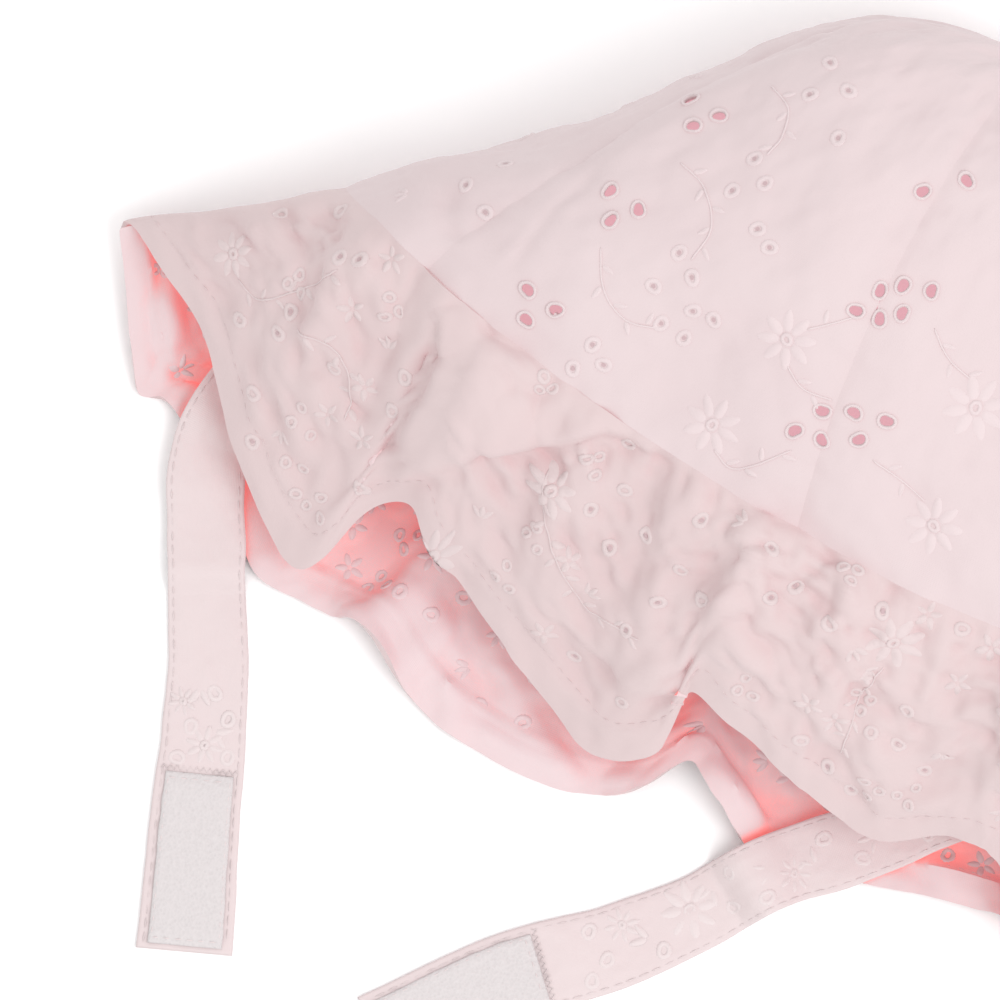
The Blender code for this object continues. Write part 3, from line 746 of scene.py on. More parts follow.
def cloth_piece(name, cloth, row, column, holes, materials, hem_from=None):
    """A sheet of cloth on a grid of rows and columns, pierced with round holes."""
    closed = hem_from is not None
    numbers = np.arange(row.size).reshape(row.shape)
    following = np.roll(numbers, -1, axis=1) if closed else numbers[:, 1:]
    first = numbers if closed else numbers[:, :-1]
    faces = np.stack([first[:-1], following[:-1], following[1:], first[1:]], axis=-1).reshape(-1, 4)
    points = cloth.at(row, column, np.full(row.shape, CLOTH / 2)).reshape(-1, 3)
    keep = np.ones(len(faces), bool)
    centres = points[faces].mean(axis=1)
    for hole_row, hole_column in holes:
        centre = cloth.at(hole_row, hole_column, CLOTH / 2)
        beside, ahead = cloth.steps(hole_row, hole_column)
        one = unit(beside)
        two = unit(ahead - (ahead @ one) * one)

        def hole_edge(spokes):
            return HOLE_RADIUS * oval(np.arctan2(spokes @ two, spokes @ one), hole_row, hole_column)

        inside = np.linalg.norm(centres - centre, axis=1) < hole_edge(centres - centre)
        keep &= ~inside
        edge = np.unique(faces[inside])
        spokes = points[edge] - centre
        lengths = np.linalg.norm(spokes, axis=1)
        outer = lengths > 0.45 * HOLE_RADIUS
        points[edge[outer]] = centre + spokes[outer] * (hole_edge(spokes[outer]) / lengths[outer])[:, None]
    faces = faces[keep]
    a, b, d = points[faces[0][0]], points[faces[0][1]], points[faces[0][3]]
    outward = cloth.read(cloth.normals, row.ravel()[faces[0][0]], column.ravel()[faces[0][0]])
    if np.dot(np.cross(b - a, d - a), outward) < 0:
        faces = faces[:, ::-1]
    used = np.unique(faces)
    renumber = np.full(row.size, -1)
    renumber[used] = np.arange(len(used))
    thing = mesh_object(name, points[used], renumber[faces])
    scale = np.array([cloth.column_length, cloth.row_length])
    add_cloth_uv(thing.data, (np.stack([column.ravel(), row.ravel()], axis=1) * scale)[used])
    for material in materials:
        thing.data.materials.append(material)
    thick = thing.modifiers.new("cloth", "SOLIDIFY")
    thick.thickness = CLOTH
    thick.offset = -1.0
    thick.use_rim = True
    thick.material_offset = 1
    if closed:
        group = thing.vertex_groups.new(name="hem")
        doubled = np.flatnonzero(row.ravel()[used] >= hem_from)
        group.add([int(i) for i in doubled], 1.0, "REPLACE")
        thick.thickness = HEM_CLOTH
        thick.vertex_group = "hem"
        thick.thickness_vertex_group = CLOTH / HEM_CLOTH
    return applied(thing)


def joined(name, pieces, material):
    """One object from many small meshes, each a pair of points and faces."""
    points, faces, base = [], [], 0
    for some_points, some_faces in pieces:
        points.append(some_points)
        faces += [tuple(int(i) + base for i in face) for face in some_faces]
        base += len(some_points)
    thing = mesh_object(name, np.concatenate(points), faces)
    thing.data.materials.append(material)
    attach(thing, "root")


def ring(cloth, row, column, radius, half_width, half_height, side=1.0, ribs=16, sides=6):
    """A stitched ring that follows the cloth, with a fine ridge for each turn of the thread."""
    turn = 2.0 * math.pi * np.arange(2 * ribs) / (2 * ribs)
    around = 2.0 * math.pi * np.arange(sides) / sides
    turns, arounds = np.meshgrid(turn, around, indexing="ij")
    swell = 1.0 + 0.09 * np.where(np.arange(2 * ribs) % 2 == 0, 1.0, -1.0)[:, None]
    reach = radius * oval(turns, row, column) + half_width * swell * np.cos(arounds)
    lift = side * (CLOTH / 2 + half_height * (swell * np.sin(arounds) - 0.4))
    points = cloth.spread(row, column, reach * np.cos(turns), reach * np.sin(turns), lift)
    numbers = np.arange(turns.size).reshape(turns.shape)
    ahead, beside = np.roll(numbers, -1, axis=0), np.roll(numbers, -1, axis=1)
    both = np.roll(ahead, -1, axis=1)
    faces = np.stack([numbers, ahead, both, beside], axis=-1).reshape(-1, 4)
    return points.reshape(-1, 3), faces


def closed_eyelet(cloth, row, column, side=1.0, size=1.0):
    """A small eyelet that its own threads almost close."""
    radius = size * EYELET_RADIUS
    return ring(cloth, row, column, radius, 0.60 * radius, EYELET_HEIGHT, side, ribs=14)


def pit(cloth, row, column, side=1.0):
    """A flat disc of painted shade in the small middle of an eyelet that its threads almost close."""
    turns = 2.0 * math.pi * np.arange(10) / 10
    reach = PIT_RADIUS * oval(turns, row, column)
    lift = side * (CLOTH / 2 + np.full(11, 0.00004))
    x, y = np.append(reach * np.cos(turns), 0.0), np.append(reach * np.sin(turns), 0.0)
    return cloth.spread(row, column, x, y, lift), [(n, (n + 1) % 10, 10) for n in range(10)]


def petal(cloth, row, column, start, length, width, turn, side=1.0, height=0.00034):
    """A raised petal of satin stitches, pointing away from a place on the cloth."""
    along = np.linspace(0.0, 1.0, 13)
    over = np.linspace(-1.0, 1.0, 7)
    down, across = np.meshgrid(along, over, indexing="ij")
    half = width / 2 * np.sqrt(np.clip(np.sin(math.pi * np.clip(down, 0.02, 0.98) ** 0.8), 0.0, 1.0))
    rib = 0.00006 * np.where(np.arange(13) % 2 == 0, 1.0, -1.0)[:, None]
    ends = np.sqrt(np.sin(math.pi * np.clip(down, 0.0, 1.0)).clip(0.0, 1.0))
    rise = (height + rib) * ends * (1.0 - across**2) - 0.00004
    out, beside = start + length * down, half * across
    x = out * math.cos(turn) - beside * math.sin(turn)
    y = out * math.sin(turn) + beside * math.cos(turn)
    points = cloth.spread(row, column, x, y, side * (rise + CLOTH / 2)).reshape(-1, 3)
    numbers = np.arange(down.size).reshape(down.shape)
    faces = np.stack([numbers[:-1, :-1], numbers[1:, :-1], numbers[1:, 1:], numbers[:-1, 1:]], axis=-1)
    return points, faces.reshape(-1, 4)


def tube(points, up, radius, sides=6):
    """A thread along the points, thinner at both of its ends."""
    ahead = unit(np.gradient(points, axis=0))
    beside = unit(np.cross(ahead, up))
    above = np.cross(beside, ahead)
    angles = 2.0 * math.pi * np.arange(sides) / sides
    taper = np.ones(len(points))
    taper[[0, -1]] = 0.25
    offset = beside[:, None] * np.cos(angles)[None, :, None] + above[:, None] * np.sin(angles)[None, :, None]
    shell = points[:, None] + offset * (radius * taper)[:, None, None]
    numbers = np.arange(shell.shape[0] * sides).reshape(-1, sides)
    turned = np.roll(numbers, -1, axis=1)
    faces = np.stack([numbers[:-1], turned[:-1], turned[1:], numbers[1:]], axis=-1).reshape(-1, 4).tolist()
    faces.append(tuple(numbers[0][::-1]))
    faces.append(tuple(numbers[-1]))
    return shell.reshape(-1, 3), faces


def vine(cloth, places, radius=0.00024):
    """A raised stem of thread along the cloth, with small leaves on both sides of it."""
    rows = np.array(places, float)
    knots = np.arange(len(rows), dtype=float)
    read = smooth_rows(np.column_stack([knots, rows]), np.linspace(0.0, knots[-1], 12 * (len(rows) - 1)))
    points = cloth.at(read[:, 0], read[:, 1], np.full(len(read), CLOTH / 2 - radius * 0.1))
    made = [tube(points, unit(cloth.read(cloth.normals, read[:, 0], read[:, 1])), radius)]
    lengths = np.concatenate([[0.0], np.cumsum(np.linalg.norm(np.diff(points, axis=0), axis=1))])
    for number, at in enumerate(np.arange(0.0035, lengths[-1] - 0.002, 0.0042)):
        row, column = np.interp(at, lengths, read[:, 0]), np.interp(at, lengths, read[:, 1])
        further = min(at + 0.001, lengths[-1])
        climb = (np.interp(further, lengths, read[:, 0]) - row) * cloth.row_length
        aside = (np.interp(further, lengths, read[:, 1]) - column) * cloth.column_length
        turn = math.atan2(climb, aside) + (0.95 if number % 2 else -0.95)
        made.append(petal(cloth, row, column, 0.0003, 0.0030, 0.0013, turn))
    return made


def stitches(cloth, line, length, gap, radius, side=1.0, wall=CLOTH):
    """Short raised stitches along a line of rows and columns."""
    points = cloth.at(line[:, 0], line[:, 1])
    steps = np.linalg.norm(np.diff(points, axis=0), axis=1)
    travelled = np.concatenate([[0.0], np.cumsum(steps)])
    made = []
    for begin in np.arange(0.0, travelled[-1] - length, length + gap):
        at = begin + length * np.linspace(0.0, 1.0, 4)
        rows = np.interp(at, travelled, line[:, 0])
        columns = np.interp(at, travelled, line[:, 1])
        lift = side * (wall / 2 + radius * np.array([-0.6, 0.4, 0.4, -0.6]))
        up = unit(cloth.read(cloth.normals, rows, columns)) * side
        made.append(tube(cloth.at(rows, columns, lift), up, radius, 5))
    return made


def connect(tree, node, inputs):
    """Gives each input of a node its value, or another node's output."""
    for name, value in inputs.items():
        if isinstance(value, bpy.types.NodeSocket):
            tree.links.new(value, node.inputs[name])
        else:
            node.inputs[name].default_value = value


def add_node(tree, kind, inputs, **settings):
    """Adds a shader node. Its settings come first, since some of them change its inputs."""
    node = tree.nodes.new("ShaderNode" + kind)
    for name, value in settings.items():
        setattr(node, name, value)
    connect(tree, node, inputs)
    return node


def new_material(name, inputs):
    """A material with its tree and its shader, whose inputs take these values."""
    material = bpy.data.materials.new(name)
    material.use_nodes = True
    shader = material.node_tree.nodes["Principled BSDF"]
    connect(material.node_tree, shader, inputs)
    return material, material.node_tree, shader


def cotton(name, colour, shade, painted_shade_and_glow, reach=0.0, glow=0.0, span=(0.0, 1.0), strength=0.12, sheen=0.15):
    """Plain-weave cotton: crossing threads, slubs and slight changes of colour at random, with painted shade turning
    the colour deeper in folds and hollows where little sky reaches, and there a painted glow when glow is set.
    """
    surface = {"Roughness": 0.88, "Specular IOR Level": 0.2, "Sheen Weight": sheen, "Sheen Roughness": 0.5}
    material, tree, shader = new_material(name, surface)
    where = add_node(tree, "TexCoord", {})
    uv, place = where.outputs["UV"], where.outputs["Object"]
    thread = {"Scale": WAVE_SCALE / WEAVE, "Distortion": 0.8, "Detail": 1.0, "Detail Scale": 2.0, "Vector": uv}
    waves = [add_node(tree, "TexWave", thread, wave_type="BANDS", bands_direction=axis) for axis in ("X", "Y")]
    both = {0: waves[0].outputs["Fac"], 1: waves[1].outputs["Fac"]}
    cross = add_node(tree, "Math", both, operation="MULTIPLY")
    slub = add_node(tree, "TexNoise", {"Scale": 700.0, "Detail": 3.0, "Vector": place})
    height = add_node(tree, "Math", {0: cross.outputs[0], 1: slub.outputs["Fac"]}, operation="ADD")
    bump = add_node(tree, "Bump", {"Strength": strength, "Distance": 0.0002, "Height": height.outputs[0]})
    connect(tree, shader, {"Normal": bump.outputs["Normal"]})
    cloud = add_node(tree, "TexNoise", {"Scale": 30.0, "Detail": 4.0, "Vector": place})
    pair = {"A": (*colour, 1.0), "B": (*shade, 1.0), "Factor": cloud.outputs["Fac"]}
    blend = add_node(tree, "Mix", pair, data_type="RGBA")
    if not reach:
        connect(tree, shader, {"Base Color": blend.outputs["Result"]})
        return material
    # Painted shade: where little sky reaches within the given distance, the colour turns towards the painted fold
    # colour
    open_sky = add_node(tree, "AmbientOcclusion", {"Distance": reach}, samples=4)
    limits = {"From Min": span[0], "From Max": span[1], "Value": open_sky.outputs["AO"]}
    open_part = add_node(tree, "MapRange", limits, interpolation_type="SMOOTHSTEP").outputs["Result"]
    depth = {"A": (*painted_shade_and_glow, 1.0), "B": blend.outputs["Result"], "Factor": open_part}
    folds = add_node(tree, "Mix", depth, data_type="RGBA")
    connect(tree, shader, {"Base Color": folds.outputs["Result"]})
    # Painted glow: in those places the cloth also emits that colour, though it is no lamp
    if glow:
        dark = add_node(tree, "Math", {0: open_part, 1: -glow, 2: glow}, operation="MULTIPLY_ADD")
        connect(tree, shader, {"Emission Strength": dark.outputs[0], "Emission Color": (*painted_shade_and_glow, 1.0)})
    return material


def tape(name, colour):
    """Hook and loop tape: a matt, fuzzy face of tiny crossing loops."""
    material, tree, shader = new_material(name, {"Roughness": 0.95, "Sheen Weight": 0.3})
    where = add_node(tree, "TexCoord", {})
    cells = add_node(tree, "TexVoronoi", {"Scale": 1500.0, "Vector": where.outputs["Object"]})
    bump = add_node(tree, "Bump", {"Strength": 0.5, "Distance": 0.0003, "Height": cells.outputs["Distance"]})
    low, high = (*[0.93 * c for c in colour], 1.0), (*colour, 1.0)
    ramp = add_node(tree, "Mix", {"A": low, "B": high, "Factor": cells.outputs["Distance"]}, data_type="RGBA")
    connect(tree, shader, {"Normal": bump.outputs["Normal"], "Base Color": ramp.outputs["Result"]})
    return material


# The crown's and brim's cloth takes painted shade in its folds; the inside takes painted shade and a painted glow in
# its hollows, strongest inside the crown where its eyelets show it
outside = cotton("cotton_crown", CROWN_PINK, CROWN_SHADE, PAINTED_FOLD_SHADE, 0.010)
outside_brim = cotton("cotton_brim", BRIM_PINK, BRIM_SHADE, PAINTED_FOLD_SHADE, 0.012)
outside_strap = cotton("cotton_strap", STRAP_PINK, STRAP_SHADE, PAINTED_FOLD_SHADE)
inside = cotton("cotton_inside", INSIDE, INSIDE_SHADE, INSIDE_PAINTED_SHADE_GLOW, 0.045, glow=0.55, span=(0.12, 0.72))
crown_inside_painted_glow = cotton("cotton_inside_crown", INSIDE, INSIDE_SHADE, CROWN_INSIDE_PAINTED_GLOW, 0.100, glow=1.0)
floss = cotton("embroidery_floss", THREAD, THREAD_SHADE, PAINTED_FOLD_SHADE, strength=0.08, sheen=0.2)
floss_brim = cotton("embroidery_floss_brim", BRIM_THREAD, BRIM_PINK, PAINTED_FOLD_SHADE, strength=0.08, sheen=0.2)
inside_floss = cotton("embroidery_floss_inside", INSIDE, INSIDE_SHADE, INSIDE_PAINTED_SHADE_GLOW, strength=0.08)
floss_strap = cotton("embroidery_floss_strap", STRAP_THREAD, STRAP_PINK, PAINTED_FOLD_SHADE, strength=0.08, sheen=0.2)
# Painted shade for the small discs in the middles of the closed eyelets
pit_shade_paint = cotton("eyelet_pits", PIT_SHADE, PIT_SHADE, PAINTED_FOLD_SHADE, strength=0.05)
fastener = tape("fastener_tape", TAPE)


def shown(cloth, places, lowest=FLOOR_CLEAR):
    """Leaves out the places where the cloth's outside lies on the floor."""
    return [place for place in places if cloth.at(place[0], place[1])[2] > lowest]


def build_crown(cloth):
    """Six pierced panels, their embroidery and the rims of their eyelets."""
    open_places = shown(cloth, all_places(cloth, CROWN_OPEN))
    bounds = panel_bounds()
    names = ("front_left", "side_left", "back_left", "back_right", "side_right", "front_right")
    rows = np.linspace(0.0, CROWN_ROWS, PANEL_ROWS)
    lean = seam_lean(rows / CROWN_ROWS)[:, None]
    for name, first, last in zip(names, bounds[:-1], bounds[1:]):
        count = int(round((last - first) * PANEL_COLUMNS_ROUND)) + 1
        column = (np.linspace(first, last, count)[None, :] + lean) * ROUND
        row = np.broadcast_to(rows[:, None], column.shape)
        panel = cloth_piece("cloth_" + name, cloth, row, column, open_places, (outside, crown_inside_painted_glow))
        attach(panel, "root")
        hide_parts("crown_panel_" + name)
        middle = cloth.at(rows, column[:, count // 2])
        base = cloth.at(row[0], column[0])
    rims = [ring(cloth, r, c, RIM_RADIUS, RIM_HALF_WIDTH, RIM_HALF_HEIGHT, ribs=20) for r, c in open_places]
    closed = shown(cloth, all_places(cloth, CROWN_RINGS))
    work = [closed_eyelet(cloth, r, c) for r, c in closed]
    flowers = shown(cloth, all_places(cloth, CROWN_DAISIES))
    work += daisies(cloth, flowers)
    for stem in CROWN_STEMS:
        work += stems(cloth, stem)
    taken = [place[:2] for place in open_places + closed + flowers]
    work += filled(cloth, taken, (16, CROWN_ROWS - 40), *CROWN_FILL, 1.0, skip_steep=False)
    joined("seam_join", [seam_join(cloth)], outside)
    joined("embroidery_rims", rims, floss)
    joined("eyelet_pits_crown", [pit(cloth, r, c) for r, c in closed], pit_shade_paint)
    joined("embroidery_crown", work, floss)


def seam_join(cloth):
    """A round join along the seam, as thick as the cloth, that closes the corner between crown and brim."""
    loop = np.roll(cloth.points[0], ROUND // 2, axis=0)[::2]
    normals = np.roll(cloth.normals[0], ROUND // 2, axis=0)[::2]
    return tube(np.concatenate([loop, loop[:3]]), np.concatenate([normals, normals[:3]]), CLOTH / 2, 8)


def daisies(cloth, places, side=1.0):
    """Daisies of eight petals round a small ring."""
    work = []
    for row, column, radius, turn in places:
        size = radius * METRES_PER_PIXEL
        for number in range(8):
            angle = math.radians(turn + 45.0 * number)
            work.append(petal(cloth, row, column, 0.24 * size, 0.76 * size, 0.38 * size, angle, side))
        work.append(ring(cloth, row, column, 0.15 * size, 0.0006, 0.00045, side, ribs=8))
    return work


def stems(cloth, pixels):
    """A stem where the photograph shows it, and its like on the other sides."""
    tracks = [all_places(cloth, [pixel]) for pixel in pixels]
    made = []
    for number in range(min(len(track) for track in tracks)):
        places = [list(track[number]) for track in tracks]
        for before, place in zip(places[:-1], places[1:]):
            place[1] += cloth.columns * round((before[1] - place[1]) / cloth.columns)
        reach = max(abs(a[1] - b[1]) for a, b in zip(places[:-1], places[1:]))
        on_floor = len(shown(cloth, places)) < len(places)
        if reach < cloth.columns / 12 and not on_floor:
            made += vine(cloth, places)
    return made


def filled(cloth, taken, rows, spacing, clear, seed, chance, side, skip_steep=True):
    """Small motifs in the free places between the others: eyelets, leaf pairs and florets."""
    rng = np.random.default_rng(seed)
    centres = [cloth.at(row, column) for row, column in taken]
    made = []
    for number, row in enumerate(np.arange(rows[0], rows[1], spacing / cloth.row_length)):
        loop = cloth.at(np.full(cloth.columns, row), np.arange(cloth.columns))
        girth = np.linalg.norm(np.roll(loop, -1, axis=0) - loop, axis=1).sum()
        count = max(int(girth / spacing), 3)
        for step in range(count):
            jitter = rng.uniform(-0.3, 0.3, 2)
            column = (step + 0.5 * (number % 2) + jitter[0]) / count * cloth.columns
            at_row = float(np.clip(row + jitter[1] * spacing / cloth.row_length, rows[0], rows[1]))
            turn, kind, luck = rng.uniform(0.0, 2.0 * math.pi), rng.integers(0, 4), rng.random()
            centre = cloth.at(at_row, column)
            back = away(column / cloth.columns, 0.5) < 0.5 - UPPER_REACH
            if luck > chance or back != (side < 0) or (side > 0 and centre[2] < FLOOR_CLEAR):
                continue
            if skip_steep and steep(cloth, at_row, column) or (side > 0 and on_plain_cloth(centre)):
                continue
            if min(np.linalg.norm(np.array(centres) - centre, axis=1)) < clear:
                continue
            centres.append(centre)
            made += motif(cloth, at_row, column, kind, turn, side)
    return made


def steep(cloth, row, column):
    """Whether the cloth is too steep here for a motif."""
    return abs(unit(cloth.read(cloth.normals, row, column))[2]) < STEEP


def on_plain_cloth(point):
    """Whether the point lies on the smooth cloth over the fold."""
    x, y = to_pixel(point[0], point[1])
    return any(math.hypot(x - px, y - py) < radius for px, py, radius in PLAIN_CLOTH)


def motif(cloth, row, column, kind, turn, side):
    """A small motif: eyelets, petals or leaves, as its kind says."""

    def beside(distance, angle):
        x, y = distance * math.cos(angle), distance * math.sin(angle)
        return row + y / cloth.row_length, column + x / cloth.column_length

    if kind == 0:
        return [closed_eyelet(cloth, *beside(0.0021, turn + 2.09 * n), side, 0.8) for n in range(3)]
    if kind == 1:
        return [petal(cloth, row, column, 0.0004, 0.0027, 0.0015, turn + 1.257 * n, side) for n in range(5)]
    if kind == 2:
        return [petal(cloth, row, column, 0.0003, 0.0030, 0.0014, turn + 0.75 * n, side) for n in (-1, 0, 1)]
    return [closed_eyelet(cloth, row, column, side, 0.95)]


def build_brim(cloth):
    """The brim with its doubled hem, its stitching and its embroidery."""
    rows = np.linspace(0.0, BRIM_ROWS, BRIM_MESH_ROWS)
    hem_row = BRIM_ROWS * (1.0 - HEM_DEPTH / BRIM_DEPTH)
    row, column = np.meshgrid(rows, np.arange(ROUND // 2) * 2.0, indexing="ij")
    brim = cloth_piece("brim_cloth", cloth, row, column, [], (outside_brim, inside), hem_row)
    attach(brim, "root")
    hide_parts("brim")
    rings = [place for place in all_places(cloth, BRIM_RINGS) if not steep(cloth, place[0], place[1])]
    flowers = [place for place in all_places(cloth, BRIM_DAISIES) if not steep(cloth, place[0], place[1])]
    half = cloth.columns * (0.5 - UPPER_REACH)
    front = [p for p in rings if abs(p[1] - cloth.columns / 2) > half]
    back = [p for p in rings if abs(p[1] - cloth.columns / 2) <= half]
    work = [closed_eyelet(cloth, r, c) for r, c in front]
    work += daisies(cloth, [p for p in flowers if abs(p[1] - cloth.columns / 2) > half])
    for stem in BRIM_STEMS:
        work += stems(cloth, stem)
    taken = [place[:2] for place in rings + flowers]
    work += filled(cloth, taken, (8, hem_row - 8), *BRIM_FILL, 1.0)
    joined("embroidery_brim", work, floss_brim)
    joined("eyelet_pits_brim", [pit(cloth, r, c) for r, c in front], pit_shade_paint)
    under = [closed_eyelet(cloth, r, c, -1.0) for r, c in back]
    under += daisies(cloth, [p for p in flowers if abs(p[1] - cloth.columns / 2) <= half], -1.0)
    under += filled(cloth, taken, (8, hem_row - 6), *INSIDE_FILL, -1.0)
    joined("embroidery_brim_inside", under, inside_floss)
    around = np.linspace(-half, half, ROUND)
    front_around = np.linspace(half - ROUND / 2, ROUND / 2 - half, ROUND)
    front_line = np.column_stack([np.full(len(around), hem_row), front_around])
    back_line = np.column_stack([np.full(len(around), hem_row - 1.0), around + ROUND / 2])
    line = stitches(cloth, front_line, STITCH_LENGTH, STITCH_GAP, HEM_STITCH_RADIUS)
    line += stitches(cloth, back_line, STITCH_LENGTH, STITCH_GAP, HEM_STITCH_RADIUS, side=-1.0)
    joined("stitching_hem", line, floss_brim)


def surface_below(crown, brim):
    """Upper points of all that a strap passes over: the back of the crown and of the brim."""
    shares = np.arange(ROUND) / ROUND
    under = (shares > UPPER_REACH) & (shares < 1.0 - UPPER_REACH)
    low = crown.points[: CROWN_ROWS // 3, under].reshape(-1, 3) + (0.0, 0.0, CROWN_WALL / 2)
    flat = brim.points[:, under].reshape(-1, 3) + (0.0, 0.0, HEM_WALL / 2)
    return np.concatenate([low, flat])


def strap_cloth(route, below):
    """A fine grid along and across one strap, lifted over what it crosses."""
    table = np.array(route)
    plan = np.stack([table[:, 0] * SEAM_HALF_WIDTH, table[:, 1] * STRAP_REACH], axis=1)
    knots = np.concatenate([[0.0], np.cumsum(np.linalg.norm(np.diff(plan, axis=0), axis=1))])
    rows = np.column_stack([knots, plan, table[:, 2] * STRAP_WIDTH])
    coarse = np.linspace(0.0, knots[-1], 37)
    read = smooth_rows(rows, coarse)
    lift = np.full(len(coarse), STRAP_WALL / 2)
    for i, (x, y, width) in enumerate(read):
        near = np.hypot(below[:, 0] - x, below[:, 1] - y) < width * 0.62
        if near.any():
            lift[i] = max(lift[i], below[near, 2].max() + PIECE_GAP + STRAP_WALL / 2)
    place = np.linspace(0.0, knots[-1], 4 * int(knots[-1] * 500))
    fine = smooth_rows(rows, place)
    smooth = smooth_rows(np.column_stack([coarse, lift]), place)[:, 0]
    points = np.column_stack([fine[:, :2], np.maximum(smooth, STRAP_WALL / 2)])
    ahead = unit(np.gradient(points, axis=0))
    beside = unit(np.cross(ahead, (0.0, 0.0, 1.0)))
    spread = np.linspace(0.5, -0.5, 61)
    edges = 1.0 + 0.02 * ripple((len(points), 2), (26, 1), 32, closed=False)
    wide = spread[None, :] * np.where(spread[None, :] > 0.0, edges[:, :1], edges[:, 1:])
    grid = points[:, None] + beside[:, None] * (wide * fine[:, 2][:, None])[..., None]
    normals = np.repeat(unit(np.cross(beside, ahead))[:, None], len(spread), axis=1)
    return Cloth(grid, normals, False), knots[-1]


def plate(name, upper, lower, cloth, row, column, material):
    """A closed thin body between two grids of points."""
    count = row.size
    numbers = np.arange(count).reshape(row.shape)
    top = np.stack([numbers[:-1, :-1], numbers[:-1, 1:], numbers[1:, 1:], numbers[1:, :-1]], axis=-1)
    faces = top.reshape(-1, 4).tolist() + (top[..., ::-1].reshape(-1, 4) + count).tolist()
    for line, flip in ((numbers[0], False), (numbers[-1], True), (numbers[:, 0], True), (numbers[:, -1], False)):
        for a, b in zip(line[:-1], line[1:]):
            wall = (a, a + count, b + count, b)
            faces.append(wall[::-1] if flip else wall)
    thing = mesh_object(name, np.concatenate([upper.reshape(-1, 3), lower.reshape(-1, 3)]), faces)
    thing.data.materials.append(material)
    where = np.stack([column.ravel() * cloth.column_length, row.ravel() * cloth.row_length], axis=1)
    add_cloth_uv(thing.data, np.tile(where, (2, 1)))
    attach(thing, "root")
    return thing


def build_strap(side, below):
    """One strap, its edge stitching and embroidery, and the tape patch on its end."""
    cloth, length = strap_cloth(STRAP_ROUTES[side], below)
    rows = np.linspace(0, cloth.rows - 1, int(length * 1400) + 1)
    columns = np.linspace(0, cloth.columns - 1, 31)
    row, column = np.meshgrid(rows, columns, indexing="ij")
    edge = np.abs(column / (cloth.columns - 1) - 0.5) * 2.0
    half = STRAP_WALL / 2 * np.sqrt(1.0 - 0.8 * np.clip(edge, 0.0, 1.0) ** 8)
    soft = 0.00018 * ripple(row.shape, (30, 4), 31, closed=False) * (1.0 - edge**2)
    soft += 0.00010 * ripple(row.shape, (90, 10), 33, closed=False) - 0.00008 * np.exp(-(((edge - 0.86) / 0.05) ** 2))
    upper = cloth.at(row, column, half + soft)
    strap = plate("strap_cloth_" + side, upper, cloth.at(row, column, -half), cloth, row, column, outside_strap)
    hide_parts("strap_" + side)
    per_metre = (cloth.rows - 1) / length
    last = cloth.rows - 1
    raised = Cloth(cloth.points + cloth.normals * ((STRAP_WALL - CLOTH) / 2 - STRAP_SINK), cloth.normals, False)
    work = []
    along = np.linspace(2.0, last - 2.0, 400)
    for column_at in (4.2, cloth.columns - 5.2):
        line = np.column_stack([along, np.full(len(along), column_at)])
        work += stitches(raised, line, STITCH_LENGTH, STITCH_GAP, STRAP_STITCH_RADIUS)
    for r, c, radius, turn in STRAP_FLOWERS[side]:
        work += daisies(raised, [(last - r * per_metre, c * (cloth.columns - 1), radius, turn)])
    for r, c in STRAP_EYELETS[side]:
        work.append(closed_eyelet(raised, last - r * per_metre, c * (cloth.columns - 1)))
    for r, c, turn in STRAP_LEAVES[side]:
        row_at, column_at = last - r * per_metre, c * (cloth.columns - 1)
        work += [petal(raised, row_at, column_at, 0.0004, 0.0036, 0.0015, turn + bend) for bend in (-0.55, 0.55)]
    joined("stitching_strap_" + side, work, floss_strap)
    on_face = Cloth(cloth.points + cloth.normals * (STRAP_WALL - CLOTH) / 2, cloth.normals, False)
    build_patch(side, on_face, last, per_metre)


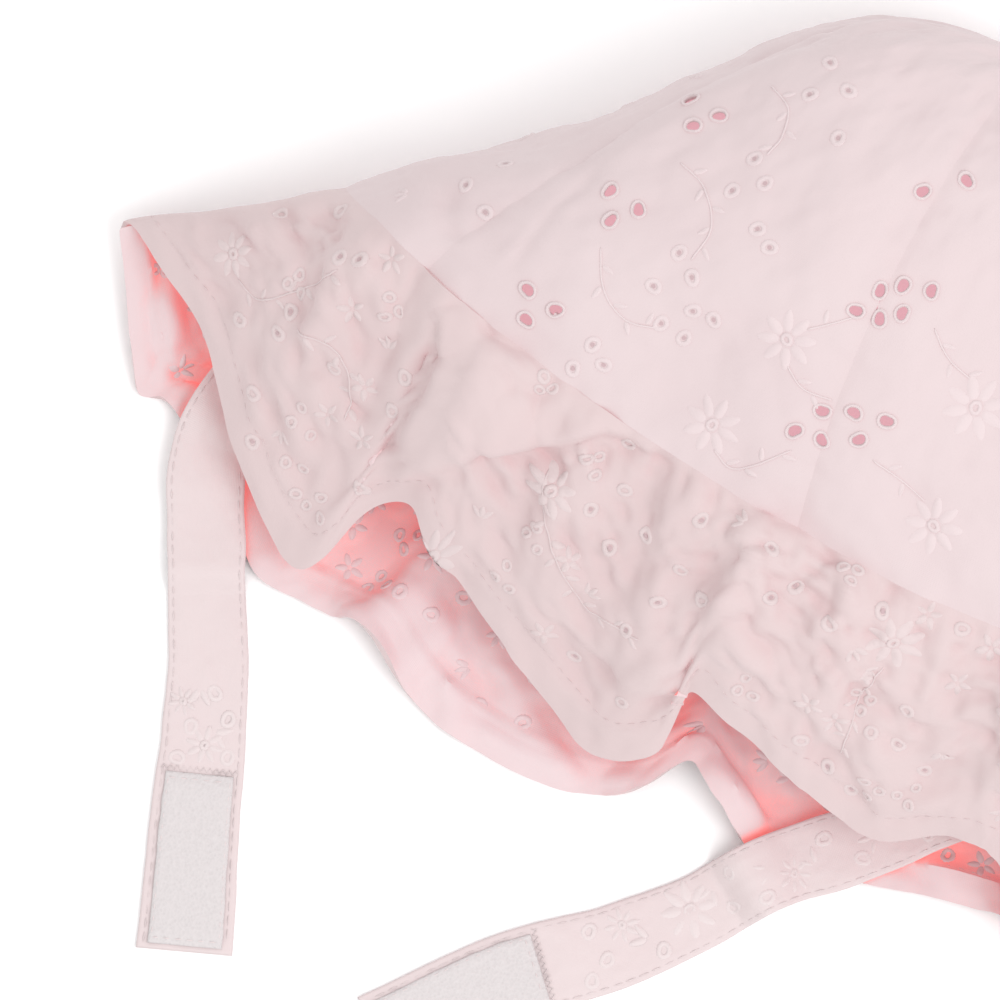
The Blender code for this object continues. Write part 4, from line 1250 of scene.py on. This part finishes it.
def build_patch(side, cloth, last, per_metre):
    """The fastening patch: a thin plate of tape with a soft face and a stitched border."""
    middle = (cloth.columns - 1) / 2
    strap_width = float(np.linalg.norm(cloth.at(last, 0.0) - cloth.at(last, cloth.columns - 1.0)))
    half = middle * PATCH_WIDTH / strap_width
    end = last - PATCH_END_MARGIN * per_metre
    rows = np.linspace(end - PATCH_LENGTH * per_metre, end, 93)
    columns = np.linspace(middle - half, middle + half, 41)
    row, column = np.meshgrid(rows, columns, indexing="ij")
    base = CLOTH / 2 + PIECE_GAP / 2
    edge = np.maximum(np.abs(column - middle) / half, np.abs(row - rows.mean()) / (rows[-1] - rows[0]) * 2.0)
    fuzz = 0.00008 * ripple(row.shape, (60, 26), 41, closed=False)
    sewn = 0.00018 * np.exp(-(((edge - 0.93) / 0.03) ** 2))
    top = base + PATCH_WALL * (0.30 + 0.40 * (1.0 - fade(0.93, 1.0, edge))) + fuzz - sewn
    upper = cloth.at(row, column + 0.5 * ripple(row.shape, (12, 1), 42, closed=False), top)
    patch = plate("tape_" + side, upper, cloth.at(row, column, np.full(row.shape, base)), cloth, row, column, fastener)
    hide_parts("patch_" + side)
    start, stop = rows[0] + 0.0012 * per_metre, rows[-1] - 0.0012 * per_metre
    left, right = middle - 0.91 * half, middle + 0.91 * half
    run = np.linspace(0.0, 1.0, 60)
    border = []
    for (r0, c0), (r1, c1) in (
        ((start, left), (stop, left)), ((start, right), (stop, right)),
        ((start, left), (start, right)), ((stop, left), (stop, right)),
    ):
        line = np.column_stack([r0 + (r1 - r0) * run, c0 + (c1 - c0) * run])
        wall = 2 * (base + 0.55 * PATCH_WALL)
        border += stitches(cloth, line, PATCH_STITCH_LENGTH, STITCH_GAP, PATCH_STITCH_RADIUS, wall=wall)
    teeth = np.arange(25)
    edge_row = rows[0] - 0.0004 * per_metre - (teeth % 2) * 0.0009 * per_metre
    zigzag = np.column_stack([edge_row, np.linspace(3.0, cloth.columns - 4.0, len(teeth))])
    points = cloth.at(zigzag[:, 0], zigzag[:, 1], np.full(len(teeth), CLOTH / 2 + 0.0001))
    seam = tube(points, np.repeat([[0.0, 0.0, 1.0]], len(teeth), axis=0), 0.00014, 5)
    joined("stitching_patch_" + side, border, floss_strap)
    joined("zigzag_patch_" + side, [seam], floss_strap)


def build_stage():
    """A plain pale floor, soft light from the right of the picture, and even light all round."""
    bpy.ops.mesh.primitive_plane_add(size=FLOOR_SIZE, location=(0.0, 0.0, 0.0))
    floor = bpy.context.object
    floor.name = "floor"
    paint = {"Base Color": (FLOOR_GREY, FLOOR_GREY, FLOOR_GREY, 1.0), "Roughness": 0.9}
    floor.data.materials.append(new_material("floor_paint", paint)[0])
    world = bpy.data.worlds.new("studio")
    bpy.context.scene.world = world
    world.use_nodes = True
    sky = {"Color": (1.0, 1.0, 1.0, 1.0), "Strength": SKY_STRENGTH}
    connect(world.node_tree, world.node_tree.nodes["Background"], sky)
    lamp = bpy.data.lights.new("softbox", "AREA")
    lamp.shape = "DISK"
    lamp.size = LAMP_SIZE
    lamp.energy = LAMP_POWER
    light = bpy.data.objects.new("softbox", lamp)
    bpy.context.collection.objects.link(light)
    light.location = LAMP_PLACE
    aim = bpy.data.objects.new("softbox_aim", None)
    bpy.context.collection.objects.link(aim)
    aim.location = LAMP_AIM
    track = light.constraints.new("TRACK_TO")
    track.target = aim
    track.track_axis = "TRACK_NEGATIVE_Z"
    track.up_axis = "UP_Y"
    bpy.context.scene.view_settings.view_transform = "Standard"


def build_camera():
    """Straight above the photograph's middle, turned as the hat lies in it."""
    lens = bpy.data.cameras.new("photo_camera")
    lens.sensor_width = SENSOR * 1000
    lens.lens = SENSOR * 1000 * CAMERA_HEIGHT / (PHOTO_SIZE * METRES_PER_PIXEL)
    lens.clip_end = 30.0
    camera = bpy.data.objects.new("photo_camera", lens)
    bpy.context.collection.objects.link(camera)
    x, y = from_pixel(PHOTO_SIZE / 2, PHOTO_SIZE / 2)
    middle = to_frame((x, y, 0.0))
    camera.location = (middle[0], middle[1], CAMERA_HEIGHT)
    camera.rotation_euler = (0.0, 0.0, math.atan2(IMAGE_RIGHT[1], IMAGE_RIGHT[0]))
    bpy.context.scene.camera = camera


build_stage()
build_camera()
crown = crown_cloth()
brim = brim_cloth(crown)
build_crown(crown)
build_brim(brim)
below = surface_below(crown, brim)
for side in STRAP_ROUTES:
    build_strap(side, below)
